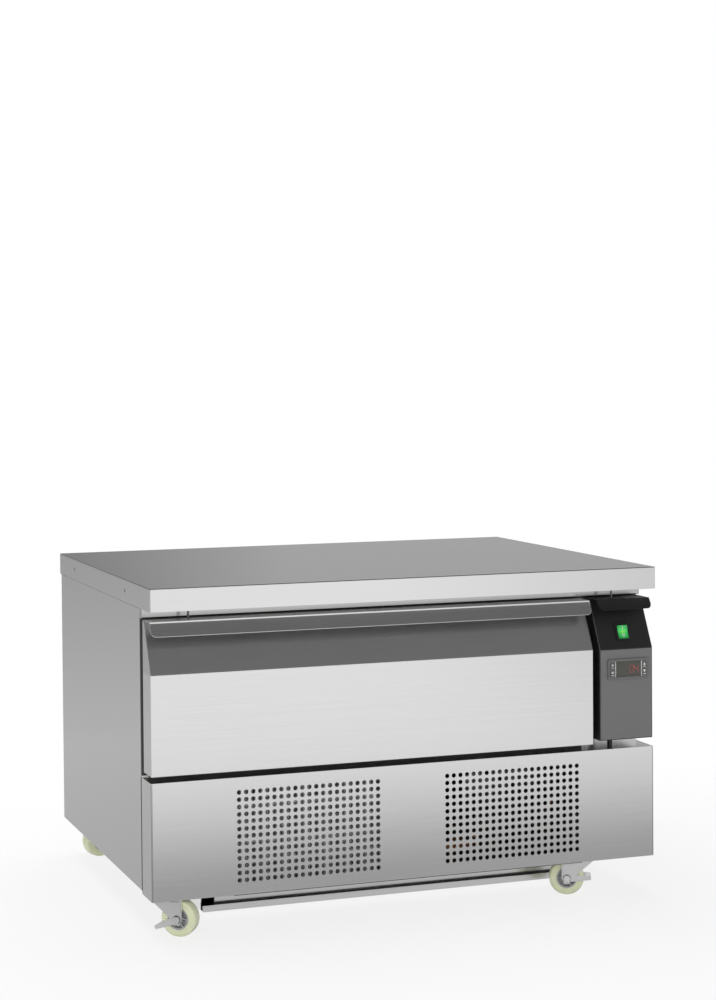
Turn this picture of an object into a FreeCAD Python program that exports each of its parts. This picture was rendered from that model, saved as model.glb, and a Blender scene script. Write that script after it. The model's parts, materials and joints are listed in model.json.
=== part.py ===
import FreeCAD, Part
import math
import os
import re

import Sketcher

# Low refrigerated counter: a steel worktop on an insulated one-drawer cabinet, with the
# refrigeration machine under the drawer, a control box beside it and four casters.
# Millimetres, +X to the right seen from the front, +Y to the back, +Z up.
# The origin is on the floor under the middle of the worktop.

# driving dimensions, in millimetres, degrees or as counts
SIZES = {
    # worktop
    "worktop_width": 900,  # worktop, side to side
    "worktop_depth": 700,  # worktop, front to back
    "total_height": 570,  # floor to the top of the worktop
    "worktop_thick": 38,  # worktop edge height
    "worktop_sheet": 1.5,  # worktop sheet
    "worktop_return": 20,  # flange folded under the worktop's edge
    "worktop_round": 2,  # radius of the worktop's folds
    # cabinet skins
    "skin": 1.2,  # outer sheet
    "side_reveal": 1.5,  # worktop beyond the side panels
    "back_reveal": 6,  # worktop beyond the back panel
    "front_setback": 75,  # worktop beyond the cabinet's front
    "side_drop": 7,  # side panels below the base plate
    "fold": 12,  # width of a folded sheet edge
    "foot_fold": 9,  # folded foot of the side panels
    "vent_columns": 2,  # columns of slots in the back panel
    "vent_rows": 8,  # rows of slots in the back panel
    "vent_length": 150,  # length of a back slot
    "vent_height": 8,  # height of a back slot
    "vent_pitch": 18,  # step between back slots
    "vent_bottom": 104,  # floor to the lowest back slot
    "vent_inner": 60,  # middle of the back to the nearest end of a slot
    # insulated box
    "liner": 1,  # inner liner sheet
    "foam_left": 34,  # insulation in the left wall
    "foam_right": 44,  # insulation in the right wall
    "foam_back": 38,  # insulation in the back wall
    "foam_floor": 44,  # insulation under the cavity
    "foam_top": 36,  # insulation over the cavity
    "column_gap": 4.3,  # insulated box to the control box
    "cavity_floor": 289,  # floor to the bottom of the cold cavity
    # front frame and top rail
    "rail_height": 16,  # height of the rail under the worktop
    "rail_depth": 14,  # depth of the rail under the worktop
    "rail_round": 2,  # rounding of the rail's lower front edge
    "frame_thick": 4,  # thickness of the frame round the drawer opening
    # lower grille panel
    "panel_setback": 9,  # worktop front to the grille panel
    "panel_drop": 12,  # grille panel below the base plate
    "panel_top": 256,  # floor to the grille panel's top ledge
    "hole_size": 7.5,  # diameter of a grille hole
    "hole_pitch": 12,  # step between grille holes
    "hole_columns": 21,  # columns of holes in one grille
    "hole_rows": 13,  # rows of holes in one grille
    "grille_inner": 62,  # middle of the panel to the nearest column of holes
    "grille_rise": 23.5,  # panel's foot to the lowest row of holes
    # drawer front
    "face_setback": 5,  # worktop front to the drawer's face
    "drawer_bottom": 267,  # floor to the drawer front
    "slant_drop": 85,  # drawer's top to the line where the front slants back
    "drawer_top_gap": 1,  # drawer front under the rail
    "drawer_thick": 50,  # drawer front, front to back
    "slant_run": 43,  # how far the slanted face goes back
    "drawer_back_sheet": 2,  # inner plate of the drawer front
    "drawer_core_gap": 0.2,  # insulation to the slanted sheet
    "lip_sheet": 1.6,  # handle sheet
    "lip_drop": 23.5,  # height of the drawer's handle strip
    "control_lip_drop": 17.5,  # height of the control box's lip
    "lip_back": 16,  # worktop front to the top of the handle strip
    "lip_front": 3,  # worktop front to the foot of the handle strip
    "lip_round": 9,  # rounded lower corners of the handle strip
    "gasket_wide": 16,  # width of the drawer's gasket
    "gasket_inset": 4,  # gasket to the edge of the drawer front
    "gasket_gap": 0.4,  # gasket to the frame it closes on
    # drawer runners and tub
    "runner_height": 45,  # height of a runner
    "runner_thick": 13,  # runner, wall to tub
    "runner_length": 520,  # length of each runner member
    "runner_sheet": 1.5,  # runner sheet
    "runner_gap": 0.4,  # clearance between runner members
    "runner_rise": 55,  # cavity floor to the middle of the runners
    "runner_start": 12,  # cabinet front to the runners
    "tub_length": 540,  # drawer tub, front to back
    "tub_headroom": 48,  # cavity's top to the tub's rim
    "tub_wall": 1.2,  # drawer tub sheet
    "tub_lift": 8,  # cavity floor to the tub
    # control box
    "control_left_gap": 13.1,  # drawer front to the control box
    "control_right_gap": 3.4,  # control box to the right side
    "control_width": 100.5,  # control box, side to side
    "control_bottom": 272,  # floor to the control box
    "control_wall": 2.5,  # wall of the control box
    "fascia_thick": 1,  # fascia plate
    "fascia_inset": 1.5,  # fascia to the control box's edges
    "conduit_size": 9,  # diameter of the wiring conduit
    "conduit_offset": 34.4,  # control box's left side to the conduit
    # temperature controller
    "bezel_width": 78,  # controller bezel, side to side
    "bezel_height": 36,  # controller bezel, height
    "bezel_thick": 2.8,  # controller bezel, front to back
    "bezel_round": 4,  # bezel corners
    "bezel_drop": 35.5,  # slant line to the controller's middle
    "bezel_shift": 3,  # controller to the right of the control box's middle
    "case_width": 71,  # controller case behind the fascia
    "case_height": 29,  # height of that case
    "case_depth": 45,  # depth of that case
    "case_gap": 0.3,  # controller case to its cut-out
    "window_width": 46,  # display window
    "window_height": 23,  # height of the display window
    "window_thick": 1.2,  # display window pane
    "window_sink": 0.3,  # pane under the bezel's face
    "key_width": 9,  # controller key
    "key_height": 10,  # height of a controller key
    "key_gap": 0.3,  # controller key to its pocket
    "key_proud": 0.5,  # controller key over the bezel
    "key_travel": 0.8,  # controller key stroke
    "key_stop": 0.2,  # room behind a pressed key
    "key_offset": 30.5,  # controller's middle to its keys, sideways
    "key_spread": 6.5,  # controller's middle to its keys, up and down
    # power switch on the slanted face
    "switch_rise": 27,  # slant line to the middle of the switch
    "switch_width": 27,  # switch frame, side to side
    "switch_height": 33,  # switch frame, up the slope
    "switch_frame": 2,  # switch frame over the slanted face
    "switch_depth": 26,  # switch body behind the slanted face
    "switch_body_width": 22,  # switch body, side to side
    "switch_body_height": 29,  # switch body, up the slope
    "rocker_width": 18.4,  # rocker, side to side
    "rocker_height": 23.2,  # rocker, up the slope
    "rocker_gap": 0.5,  # rocker to its frame at the sides
    "rocker_swing_gap": 1.6,  # rocker to its frame at the ends
    "rocker_proud": 4,  # rocker's ends over the slanted face
    "rocker_hollow": 2.2,  # rocker's middle under its ends
    "rocker_skirt": 2,  # rocker's sides behind the slanted face
    "rocker_pivot": 6,  # rocker pivot behind the slanted face
    "rocker_boss": 3.2,  # radius of the rocker's pivot boss
    "pivot_pin": 1.5,  # radius of the rocker's pins
    "rocker_tilt": 7,  # rocker's lean in its on position
    "fit_gap": 0.08,  # radial clearance of a pin in its bearing
    # base plate and base tray
    "base_sheet": 2,  # base plate
    "base_front_gap": 2,  # base plate to the grille panel
    "base_flange": 22,  # upturned edge of the base plate
    "strip_side": 138.5,  # worktop side to the strip under the base plate
    "strip_back": 131,  # worktop front to that strip
    "strip_bottom": 21.3,  # floor to that strip
    "tray_side": 115,  # worktop side to the base tray
    "tray_back_gap": 145,  # worktop back to the base tray
    "tray_bottom": 12.3,  # floor to the base tray
    "tray_lip": 10.5,  # front lip of the base tray
    "tray_front_gap": 13,  # tray lip in front of the strip
    # casters
    "wheel_size": 60,  # caster wheel diameter
    "wheel_width": 24,  # caster wheel width
    "wheel_round": 5,  # rounding of the tyre
    "hub_size": 36,  # wheel hub diameter
    "hub_proud": 1.2,  # hub beyond the tyre's side
    "axle_size": 8,  # axle bolt diameter
    "axle_head": 14,  # axle bolt head diameter
    "axle_head_thick": 4,  # axle bolt head
    "caster_trail": 20,  # swivel axis to the axle
    "fork_sheet": 2.5,  # fork leg sheet
    "fork_crown": 46,  # fork crown diameter
    "fork_crown_gap": 1.2,  # tyre to the fork's yoke
    "fork_crown_height": 8.8,  # height of the fork crown
    "fork_shoulder": 26,  # swivel axis to the leading edge of the fork's yoke
    "fork_foot": 9,  # fork leg round the axle
    "swivel_gap": 0.4,  # fork crown to the swivel plate
    "swivel_ring": 40,  # swivel ring diameter
    "swivel_ring_height": 2.6,  # swivel ring height
    "king_pin": 10,  # swivel pin diameter
    "plate_size": 60,  # caster plate, each side
    "plate_thick": 3,  # caster plate
    "bolt_offset": 22,  # caster plate's middle to its bolts
    "bolt_size": 6,  # caster bolt diameter
    "bolt_head": 10,  # caster bolt head diameter
    "bolt_head_thick": 4,  # caster bolt head
    "bolt_gap": 0.2,  # bolt to its hole
    "lever_sheet": 1.8,  # brake lever sheet
    "lever_gap": 0.4,  # brake lever to the hub and to the fork leg
    "lever_reach": 42,  # axle to the tip of the brake lever
    "lever_tread": 9,  # foot plate of the brake lever
    "lever_foot": 7,  # brake lever round the axle
    "lever_neck": 3,  # half width of the brake lever at its foot plate
    "lever_pressed": 22,  # turn of the pressed brake lever
    "caster_left": 39,  # left side to the left casters
    "caster_right": 129,  # right side to the right casters
    "caster_front_y": 47,  # worktop front to the front casters
    "caster_rear_y": 54,  # worktop back to the rear casters
    "front_left_turn": -37,  # swivel turn of the front left caster
    "front_right_turn": 157,  # swivel turn of the front right caster
    "rear_left_turn": 17.5,  # swivel turn of the rear left caster
    "rear_right_turn": 150,  # swivel turn of the rear right caster
    # refrigeration machine
    "coil_beyond": 10,  # condenser coil beyond the grille's holes
    "coil_face_gap": 14,  # grille panel to the condenser coil
    "coil_depth": 34,  # condenser coil, front to back
    "coil_height": 160,  # condenser coil, height
    "coil_plate": 1.5,  # end plate of a coil
    "fin_pitch": 9,  # step between coil fins
    "fin_sheet": 0.8,  # coil fin
    "coil_tube": 9,  # coil tube diameter
    "coil_tube_pitch": 30,  # step between coil tubes, up and down
    "coil_tube_edge": 25,  # coil's edge to the nearest tube, at least
    "shroud_sheet": 2,  # fan shroud sheet
    "shroud_depth": 12,  # coil to the fan shroud's opening
    "fan_size": 126,  # condenser fan diameter
    "fan_gap": 3,  # fan blades to their opening
    "fan_hub": 34,  # fan hub diameter
    "fan_depth": 20,  # fan hub, front to back
    "fan_blade": 1.6,  # fan blade thickness
    "fan_pitch": 28,  # fan blade lean
    "fan_blades": 5,  # blades on a fan
    "fan_chord": 38,  # fan blade width at the tip
    "shaft_size": 6,  # fan shaft diameter
    "shaft_length": 9,  # fan shaft inside its motor
    "motor_gap": 1.5,  # fan hub to its motor
    "motor_size": 58,  # condenser fan motor diameter
    "motor_depth": 32,  # condenser fan motor, front to back
    "motor_foot": 36,  # width of the fan motor's bracket
    "motor_foot_sheet": 2.5,  # fan motor's bracket sheet
    "compressor_side": 285,  # worktop side to the compressor's middle
    "compressor_y": 20,  # compressor's middle, front to back
    "compressor_size": 140,  # compressor shell diameter
    "compressor_height": 125,  # compressor shell height
    "compressor_round": 32,  # rounding of the compressor shell
    "compressor_plate": 3,  # compressor's mounting plate
    "compressor_plate_half": 78,  # half length of that plate
    "compressor_plate_width": 96,  # width of that plate
    "foot_size": 22,  # rubber foot diameter
    "foot_height": 10,  # rubber foot height
    "foot_inset": 14,  # rubber foot to the plate's edges
    "stub_size": 13,  # compressor pipe stub diameter
    "stub_proud": 14,  # pipe stub beyond the shell
    "discharge_rise": 92,  # shell's foot to the discharge stub
    "suction_rise": 72,  # shell's foot to the suction stub
    "discharge_size": 8,  # discharge pipe diameter
    "liquid_size": 6,  # liquid line diameter
    "suction_size": 10,  # suction pipe diameter
    "pipe_bend": 16,  # bend radius of the pipes
    "pipe_gap": 1,  # pipe to its hole in the insulation
    "drier_size": 20,  # filter drier diameter
    "drier_length": 90,  # filter drier length
    "drier_start": 70,  # condenser to the filter drier
    "liquid_drop": 30,  # coil's foot to the liquid line
    "pipe_column": 66,  # right side to the pipes in the service column
    "pipe_clear": 34,  # pipes in front of the compressor shell
    # evaporator at the back of the cavity
    "cool_left_gap": 32.3,  # cavity's left face to the evaporator coil
    "cool_right_gap": 120,  # evaporator coil to the fan's middle
    "cool_depth": 32,  # evaporator coil, front to back
    "cool_headroom": 36,  # evaporator coil under the cavity's top
    "cool_rise": 20,  # cavity floor to the evaporator coil
    "cool_gap": 6,  # evaporator coil to its cover
    "cover_sheet": 1.5,  # evaporator cover sheet
    "cool_fan_side": 115.3,  # cavity's right face to the fan's middle
    "cool_fan_rise": 70,  # cavity floor to the evaporator fan
    "cool_fan_size": 80,  # evaporator fan diameter
    "cool_fan_depth": 16,  # evaporator fan, front to back
    "cool_motor_size": 50,  # evaporator fan motor diameter
    "air_slot_edge": 20,  # coil's ends to the return air slots, at least
    "air_slot_width": 22,  # return air slot width
    "air_slot_margin": 30,  # return air slots within the coil's height
    "air_slot_pitch": 46,  # step between return air slots
    "liquid_over": 9,  # liquid line over the evaporator fan motor
    "suction_over": 26,  # suction pipe over the liquid line
    "drain_size": 16,  # drain pipe diameter
    "drain_bend": 30,  # bend radius of the drain pipe
    "drain_x": -200,  # drain pipe, sideways
    "drain_back": 24,  # cavity back to the drain pipe
    "drain_outlet_back": 85,  # base tray's back to the drain's outlet
    "drain_turn": 70,  # underside of the insulated box to the drain's level run
    "drain_end": 18,  # base tray to the drain's end
    "gland_size": 22,  # cable gland diameter
    "gland_proud": 5,  # cable gland behind the back panel
    "gland_depth": 20,  # cable gland inside the back panel
    "gland_bore": 9,  # cable gland bore
    "gland_side": 68.5,  # right side to the cable gland
    "gland_z": 160,  # cable gland, height
    # screws
    "screw_head": 6,  # sheet screw head diameter
    "screw_head_thick": 1.4,  # sheet screw head
    "screw_size": 3.6,  # sheet screw diameter
    "screw_length": 12,  # sheet screw length
    "screw_front_y": 170,  # worktop front to its front side screws
    "screw_rear_y": 132,  # worktop back to its rear side screws
    "screw_edge": 9,  # back panel screws to the panel's edges
    "stud_size": 3.6,  # worktop stud diameter
    "stud_length": 16.2,  # worktop stud length
    "stud_side": 71,  # worktop side to its studs
    "stud_back": 30,  # worktop front to its studs
}

# heights, planes and edges that several pieces share, worked out from the sizes
PLACES = {
    # worktop
    "worktop_under": "total_height - worktop_thick",  # underside of the worktop
    "worktop_side": "worktop_width / 2",  # worktop's right side
    "worktop_front": "-worktop_depth / 2",  # worktop's front
    "worktop_back": "worktop_depth / 2",  # worktop's back
    # cabinet skins
    "side_out": "worktop_side - side_reveal",  # outer face of the right side panel
    "side_in": "side_out - skin",  # inner face of the right side panel
    "side_bottom": "base_under - side_drop",  # foot of the side panels
    "cabinet_front": "worktop_front + front_setback",  # front of the cabinet
    "cabinet_back": "worktop_back - back_reveal",  # outer face of the back panel
    "back_in": "cabinet_back - skin",  # inner face of the back panel
    # insulated box
    "cavity_left": "-side_in + foam_left + liner",  # left face of the cavity
    "box_right": "control_left - column_gap",  # right face of the insulated box
    "cavity_right": "box_right - foam_right - liner",  # right face of the cavity
    "cavity_back": "back_in - foam_back - liner",  # back face of the cavity
    "cavity_top": "worktop_under - foam_top - liner",  # top face of the cavity
    "foam_front": "cabinet_front + skin",  # front of the insulation
    "box_bottom": "cavity_floor - liner - foam_floor",  # underside of the insulated box
    # front frame and top rail
    "rail_bottom": "worktop_under - rail_height",  # underside of the top rail
    "frame_front": "cabinet_front - frame_thick",  # front of the drawer frame
    # lower grille panel
    "panel_face": "worktop_front + panel_setback",  # face of the grille panel
    "panel_bottom": "base_under - panel_drop",  # foot of the grille panel
    "grille_bottom": "panel_bottom + grille_rise",  # lowest row of holes
    "frame_bottom": "panel_top + 2 * skin",  # underside of the drawer frame
    # drawer front
    "face": "worktop_front + face_setback",  # face of the drawer and of the control box
    "drawer_left": "-side_out",  # left end of the drawer front
    "drawer_right": "control_left - control_left_gap",  # right end of the drawer front
    "drawer_top": "rail_bottom - drawer_top_gap",  # top of the drawer front
    "drawer_back": "face + drawer_thick",  # back of the drawer front
    "slant_start": "drawer_top - slant_drop",  # line where the front slants back
    "lip_top_y": "worktop_front + lip_back",  # handle strip at its top
    "lip_foot_y": "worktop_front + lip_front",  # handle strip at its foot
    # drawer runners and tub
    "runner_mid": "cavity_floor + runner_rise",  # height of the runners' middle
    "runner_front": "cabinet_front + runner_start",  # front of the runners
    "tub_bottom": "cavity_floor + tub_lift",  # underside of the tub
    "tub_top": "cavity_top - tub_headroom",  # rim of the tub
    # control box
    "control_left": "control_right - control_width",  # left side of the control box
    "control_right": "side_out - control_right_gap",  # right side of the control box
    "control_mid": "(control_left + control_right) / 2",  # middle of the control box
    # temperature controller
    "fascia_face": "face - fascia_thick",  # face of the fascia
    "bezel_face": "fascia_face - bezel_thick",  # face of the controller bezel
    "bezel_mid": "slant_start - bezel_drop",  # height of the controller's middle
    "bezel_x": "control_mid + bezel_shift",  # controller's middle, sideways
    # power switch on the slanted face
    "slant_rise": "slant_drop - lip_sheet",  # height of the slanted face
    "slant_angle": "atan(slant_run / slant_rise)",  # lean of the slanted face
    "switch_y": "face + slant_run * switch_rise / slant_rise",  # switch's middle, front to back
    "switch_z": "slant_start + switch_rise",  # switch's middle, height
    # base plate and base tray
    "base_under": "crown_top + swivel_gap + swivel_ring_height + plate_thick",  # underside of the base plate
    "base_top": "base_under + base_sheet",  # top of the base plate
    "strip_front": "worktop_front + strip_back",  # front of the strip
    "tray_front": "strip_front - tray_front_gap",  # front of the base tray
    "tray_back": "worktop_back - tray_back_gap",  # back of the base tray
    "tray_half": "worktop_side - tray_side",  # right side of the base tray
    "strip_half": "worktop_side - strip_side",  # right end of the strip
    # casters
    "axle_z": "wheel_size / 2",  # height of the axles
    "crown_bottom": "wheel_size + fork_crown_gap",  # underside of the fork crown
    "crown_top": "crown_bottom + fork_crown_height",  # top of the fork crown
    "lever_in": "wheel_width / 2 + hub_proud + lever_gap",  # inner face of a brake lever arm
    "lever_out": "lever_in + lever_sheet",  # outer face of a brake lever arm
    "leg_in": "lever_out + lever_gap",  # inner face of a fork leg
    "leg_out": "leg_in + fork_sheet",  # outer face of a fork leg
    # refrigeration machine
    "coil_front": "panel_face + coil_face_gap",  # front of the condenser coil
    "coil_back": "coil_front + coil_depth",  # back of the condenser coil
    "shroud_back": "coil_back + shroud_depth",  # back of the fan shroud
    "grille_outer": "grille_inner + (hole_columns - 1) * hole_pitch",  # outermost column of holes
    "coil_left": "-(grille_outer + 2 * coil_beyond)",  # left end of the condenser coil
    "coil_right": "-(grille_inner - coil_beyond)",  # right end of the condenser coil
    "coil_mid": "(coil_left + coil_right) / 2",  # middle of the condenser fan
    "fan_z": "base_top + coil_height / 2",  # height of the condenser fan
    "fan_front": "shroud_back - fan_depth / 2",  # front of the condenser fan
    "fan_back": "fan_front + fan_depth",  # back of the condenser fan
    "motor_front": "fan_back + motor_gap",  # front of the condenser fan motor
    "motor_back": "motor_front + motor_depth",  # back of the condenser fan motor
    "compressor_x": "worktop_side - compressor_side",  # compressor's middle, sideways
    "shell_foot": "base_top + foot_height + compressor_plate",  # underside of the compressor shell
    "pipe_x": "side_out - pipe_column",  # pipes in the service column
    "pipe_y": "compressor_y - compressor_size / 2 - pipe_clear",  # pipes before the compressor
    # evaporator at the back of the cavity
    "gland_x": "side_out - gland_side",  # cable gland, sideways
    "cool_front": "cavity_back - cool_depth",  # front of the evaporator coil
    "cover_front": "cool_front - cool_gap - cover_sheet",  # front of the evaporator cover
    "cool_bottom": "cavity_floor + cool_rise",  # underside of the evaporator coil
    "cool_top": "cavity_top - cool_headroom",  # top of the evaporator coil
    "cool_fan_x": "cavity_right - cool_fan_side",  # evaporator fan's middle, sideways
    "cool_left": "cavity_left + cool_left_gap",  # left end of the evaporator coil
    "cool_right": "cool_fan_x - cool_right_gap",  # right end of the evaporator coil
    "cool_pipe_y": "(cool_front + cavity_back) / 2",  # pipes at the evaporator
    "cool_fan_z": "cavity_floor + cool_fan_rise",  # height of the evaporator fan
    "cool_fan_back": "cover_front + cover_sheet + cool_fan_depth / 2",  # back of the evaporator fan
    "cool_motor_front": "cool_fan_back + motor_gap",  # front of the evaporator fan motor
    "liquid_z": "cool_fan_z + cool_motor_size / 2 + liquid_over",  # liquid line at the evaporator
    "suction_z": "liquid_z + suction_over",  # suction pipe at the evaporator
    "drain_y": "cavity_back - drain_back",  # drain pipe under the evaporator
    "drain_outlet_y": "tray_back - drain_outlet_back",  # drain pipe over the base tray
}

doc = FreeCAD.newDocument("refrigerated_counter")
sizes = doc.addObject("Spreadsheet::Sheet", "Sizes")
places = doc.addObject("Spreadsheet::Sheet", "Places")
home = {name: "Sizes." for name in SIZES} | {name: "Places." for name in PLACES}
NAME = re.compile(r"[a-z][a-z_0-9]*")


def linked(text):
    """A formula in the sheets' names, with each name's sheet written before it."""
    return NAME.sub(lambda found: home.get(found.group(), "") + found.group(), str(text))


def enter(sheet, rows):
    """Writes a row with a name and a value or formula for each entry."""
    for row, (name, content) in enumerate(rows.items(), start=1):
        sheet.set(f"A{row}", name)
        sheet.set(f"B{row}", content)
        sheet.setAlias(f"B{row}", name)


def number(name):
    sheet = sizes if name in SIZES else places
    found = sheet.get(name)
    return float(getattr(found, "Value", found))


enter(sizes, {name: str(value) for name, value in SIZES.items()})
enter(places, {name: "=" + linked(formula) for name, formula in PLACES.items()})
doc.recompute()

EDGE_TOLERANCE = 1e-6
FREE = FreeCAD.Rotation()
TURN_TO = {
    "x": FreeCAD.Rotation(FreeCAD.Vector(0, 1, 0), 90),
    "y": FreeCAD.Rotation(FreeCAD.Vector(1, 0, 0), -90),
    "z": FREE,
}
PLANE = {"x": "YZ_Plane", "y": "XZ_Plane", "z": "XY_Plane"}


def bind(thing, **formulas):
    for name, formula in formulas.items():
        thing.setExpression(name, linked(formula))


def set_base(thing, x, y, z):
    for axis, formula in (("x", x), ("y", y), ("z", z)):
        thing.setExpression(f"Placement.Base.{axis}", linked(formula))


def block(x, y, z):
    """A box between a low and a high formula on each axis."""
    made = doc.addObject("Part::Box", "block")
    for edge, (low, high) in (("Length", x), ("Width", y), ("Height", z)):
        made.setExpression(edge, linked(f"({high}) - ({low})"))
    set_base(made, x[0], y[0], z[0])
    return made


def rod(axis, centre, span, diameter):
    """A cylinder along an axis; centre is its place on the other two axes, in X, Y, Z order."""
    made = doc.addObject("Part::Cylinder", "rod")
    made.Placement.Rotation = TURN_TO[axis]
    bind(made, Radius=f"({diameter}) / 2", Height=f"({span[1]}) - ({span[0]})")
    base = list(centre)
    base.insert("xyz".index(axis), span[0])
    set_base(made, *base)
    return made


def joined(*pieces):
    if len(pieces) == 1:
        return pieces[0]
    made = doc.addObject("Part::MultiFuse", "joined")
    made.Shapes = list(pieces)
    return made


def group(*pieces):
    """Separate solids kept together as one object."""
    made = doc.addObject("Part::Compound", "group")
    made.Links = list(pieces)
    return made


def cut(base, *tools):
    made = doc.addObject("Part::Cut", "cut")
    made.Base = base
    made.Tool = joined(*tools)
    return made


def outline(body, axis, corners, start):
    """A closed sketch across an axis, at start along it, each corner held by two formulas."""
    sketch = body.newObject("Sketcher::SketchObject", "outline")
    planes = {plane.Role: plane for plane in body.Origin.OriginFeatures}
    sketch.AttachmentSupport = [(planes[PLANE[axis]], "")]
    sketch.MapMode = "FlatFace"
    count = len(corners)
    for index in range(count):
        angle = 2 * math.pi * index / count
        after = 2 * math.pi * (index + 1) / count
        first = FreeCAD.Vector(math.cos(angle), math.sin(angle), 0)
        second = FreeCAD.Vector(math.cos(after), math.sin(after), 0)
        sketch.addGeometry(Part.LineSegment(first, second), False)
    for index in range(count):
        sketch.addConstraint(Sketcher.Constraint("Coincident", index, 2, (index + 1) % count, 1))
    for index, corner in enumerate(corners):
        for kind, formula in zip(("DistanceX", "DistanceY"), corner):
            held = sketch.addConstraint(Sketcher.Constraint(kind, -1, 1, index, 1, 1.0))
            sketch.setExpression(f"Constraints[{held}]", linked(formula))
    sketch.setExpression("AttachmentOffset.Base.z", linked(start))
    return sketch


def sweep(axis, corners, span):
    """A body with an outline run along an axis; its corners are in the other two axes' order."""
    body = doc.addObject("PartDesign::Body", "sweep")
    low, high = span
    # the plane across Y faces the front, so its run starts at the high end
    start = f"-({high})" if axis == "y" else low
    sketch = outline(body, axis, corners, start)
    pad = body.newObject("PartDesign::Pad", "pad")
    pad.Profile = sketch
    bind(pad, Length=f"({high}) - ({low})")
    doc.recompute()
    return body


def rounded(body, radius, chosen):
    """Fillets the edges of a body that the chosen test names."""
    last = body.Tip
    edges = enumerate(last.Shape.Edges, start=1)
    names = [f"Edge{index}" for index, edge in edges if chosen(edge.BoundBox)]
    fillet = body.newObject("PartDesign::Fillet", "fillet")
    fillet.Base = (last, names)
    bind(fillet, Radius=radius)
    doc.recompute()
    return body


def along(axis):
    """A test for edges that run along one axis only."""
    others = [name for name in "XYZ" if name != axis]

    def runs(box):
        lengths = {name: getattr(box, name + "Length") for name in "XYZ"}
        return lengths[axis] > EDGE_TOLERANCE and all(lengths[name] < EDGE_TOLERANCE for name in others)

    return runs


def solid(shape):
    """A shape made directly, held as an object of the document."""
    made = doc.addObject("Part::Feature", "solid")
    made.Shape = shape
    return made


def bent_tube(points, diameter, bend):
    """A tube along straight runs joined by tangent arcs of one bend radius."""
    corners = [FreeCAD.Vector(*point) for point in points]
    edges = []
    start = corners[0]
    for before, corner, after in zip(corners, corners[1:], corners[2:]):
        inward = (before - corner).normalize()
        onward = (after - corner).normalize()
        half = inward.getAngle(onward) / 2
        cut_back = bend / math.tan(half)
        first = corner + inward * cut_back
        last = corner + onward * cut_back
        middle = corner + (inward + onward).normalize() * (bend / math.sin(half) - bend)
        edges.append(Part.LineSegment(start, first).toShape())
        edges.append(Part.Arc(first, middle, last).toShape())
        start = last
    edges.append(Part.LineSegment(start, corners[-1]).toShape())
    path = Part.Wire(edges)
    ring = Part.Wire(Part.makeCircle(diameter / 2, corners[0], corners[1] - corners[0]))
    return path.makePipe(Part.Face(ring))


nodes = []


def node(label, piece):
    """Names a sub-part; its label is also the name of its file."""
    piece.Label = label
    nodes.append(piece)
    return piece


def mirrored_span(side, low, high):
    """A span given for the right side, or its mirror image for the left."""
    return (low, high) if side > 0 else (f"-({high})", f"-({low})")


SIDES = (-1, 1)


# worktop: a folded pan with a core board inside
def make_worktop():
    corners = [
        ("-worktop_side", "worktop_front"),
        ("worktop_side", "worktop_front"),
        ("worktop_side", "worktop_back"),
        ("-worktop_side", "worktop_back"),
    ]
    pan = sweep("z", corners, ("worktop_under", "total_height"))
    top = number("total_height")
    rounded(pan, "worktop_round", lambda box: along("Z")(box) or box.ZMin > top - EDGE_TOLERANCE)
    inner = [("-worktop_side + worktop_sheet", "worktop_side - worktop_sheet")]
    inner.append(("worktop_front + worktop_sheet", "worktop_back - worktop_sheet"))
    mouth = [(f"{low} + worktop_return", f"{high} - worktop_return") for low, high in inner]
    hollow = ("worktop_under + worktop_sheet", "total_height - worktop_sheet")
    opening = ("worktop_under", "worktop_under + worktop_sheet")
    pan = cut(pan, block(*inner, hollow), block(*mouth, opening), *side_screw_tools("screw_head"))
    node("worktop", pan)
    board = joined(block(*inner, hollow), block(*mouth, opening))
    node("worktop_core", cut(board, *side_screw_tools("screw_size")))


SIDE_SCREW_YS = ("worktop_front + screw_front_y", "worktop_back - screw_rear_y")
SIDE_SCREW_Z = "worktop_under + worktop_thick / 2"


def side_screw_tools(diameter):
    """Clearance holes for the screws through the worktop's two sides."""
    tools = []
    for side in SIDES:
        for y in SIDE_SCREW_YS:
            span = mirrored_span(side, "worktop_side - screw_length - bolt_gap", "worktop_side")
            tools.append(rod("x", (y, SIDE_SCREW_Z), span, f"{diameter} + 2 * bolt_gap"))
    return tools


# side panels: folded at the front and along the foot, the right one over the service column
def make_side_panels():
    for side, label in zip(SIDES, ("left_side_panel", "right_side_panel")):
        whole = ("side_bottom", "worktop_under")
        depth = ("cabinet_front", "cabinet_back")
        wall = block(mirrored_span(side, "side_in", "side_out"), depth, whole)
        front = "box_right" if side > 0 else "side_out - fold"
        edge_depth = ("cabinet_front", "foam_front")
        edge = block(mirrored_span(side, front, "side_out"), edge_depth, ("base_top", "worktop_under"))
        foot_span = mirrored_span(side, "side_out - foot_fold", "side_out")
        foot = block(foot_span, ("cabinet_front", "back_in"), ("side_bottom", "side_bottom + skin"))
        node(label, joined(wall, edge, foot))


BACK_SCREWS = [(side, height) for side in SIDES for height in ("low", "mid", "high")]
BACK_SCREW_Z = {
    "low": "base_top + base_flange / 2",
    "mid": "(base_top + worktop_under) / 2",
    "high": "worktop_under - screw_edge",
}


def make_back_panel():
    sheet = block(("-side_in", "side_in"), ("back_in", "cabinet_back"), ("side_bottom", "worktop_under"))
    through = ("back_in", "cabinet_back")
    slots = []
    for column in range(int(number("vent_columns"))):
        side = SIDES[column % len(SIDES)]
        span = mirrored_span(side, "vent_inner", "vent_inner + vent_length")
        for row in range(int(number("vent_rows"))):
            low = f"vent_bottom + {row} * vent_pitch"
            slots.append(block(span, through, (low, f"{low} + vent_height")))
    gland = rod("y", ("gland_x", "gland_z"), through, "gland_size + 2 * bolt_gap")
    node("back_panel", cut(sheet, gland, *slots, *back_screw_tools()))


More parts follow.
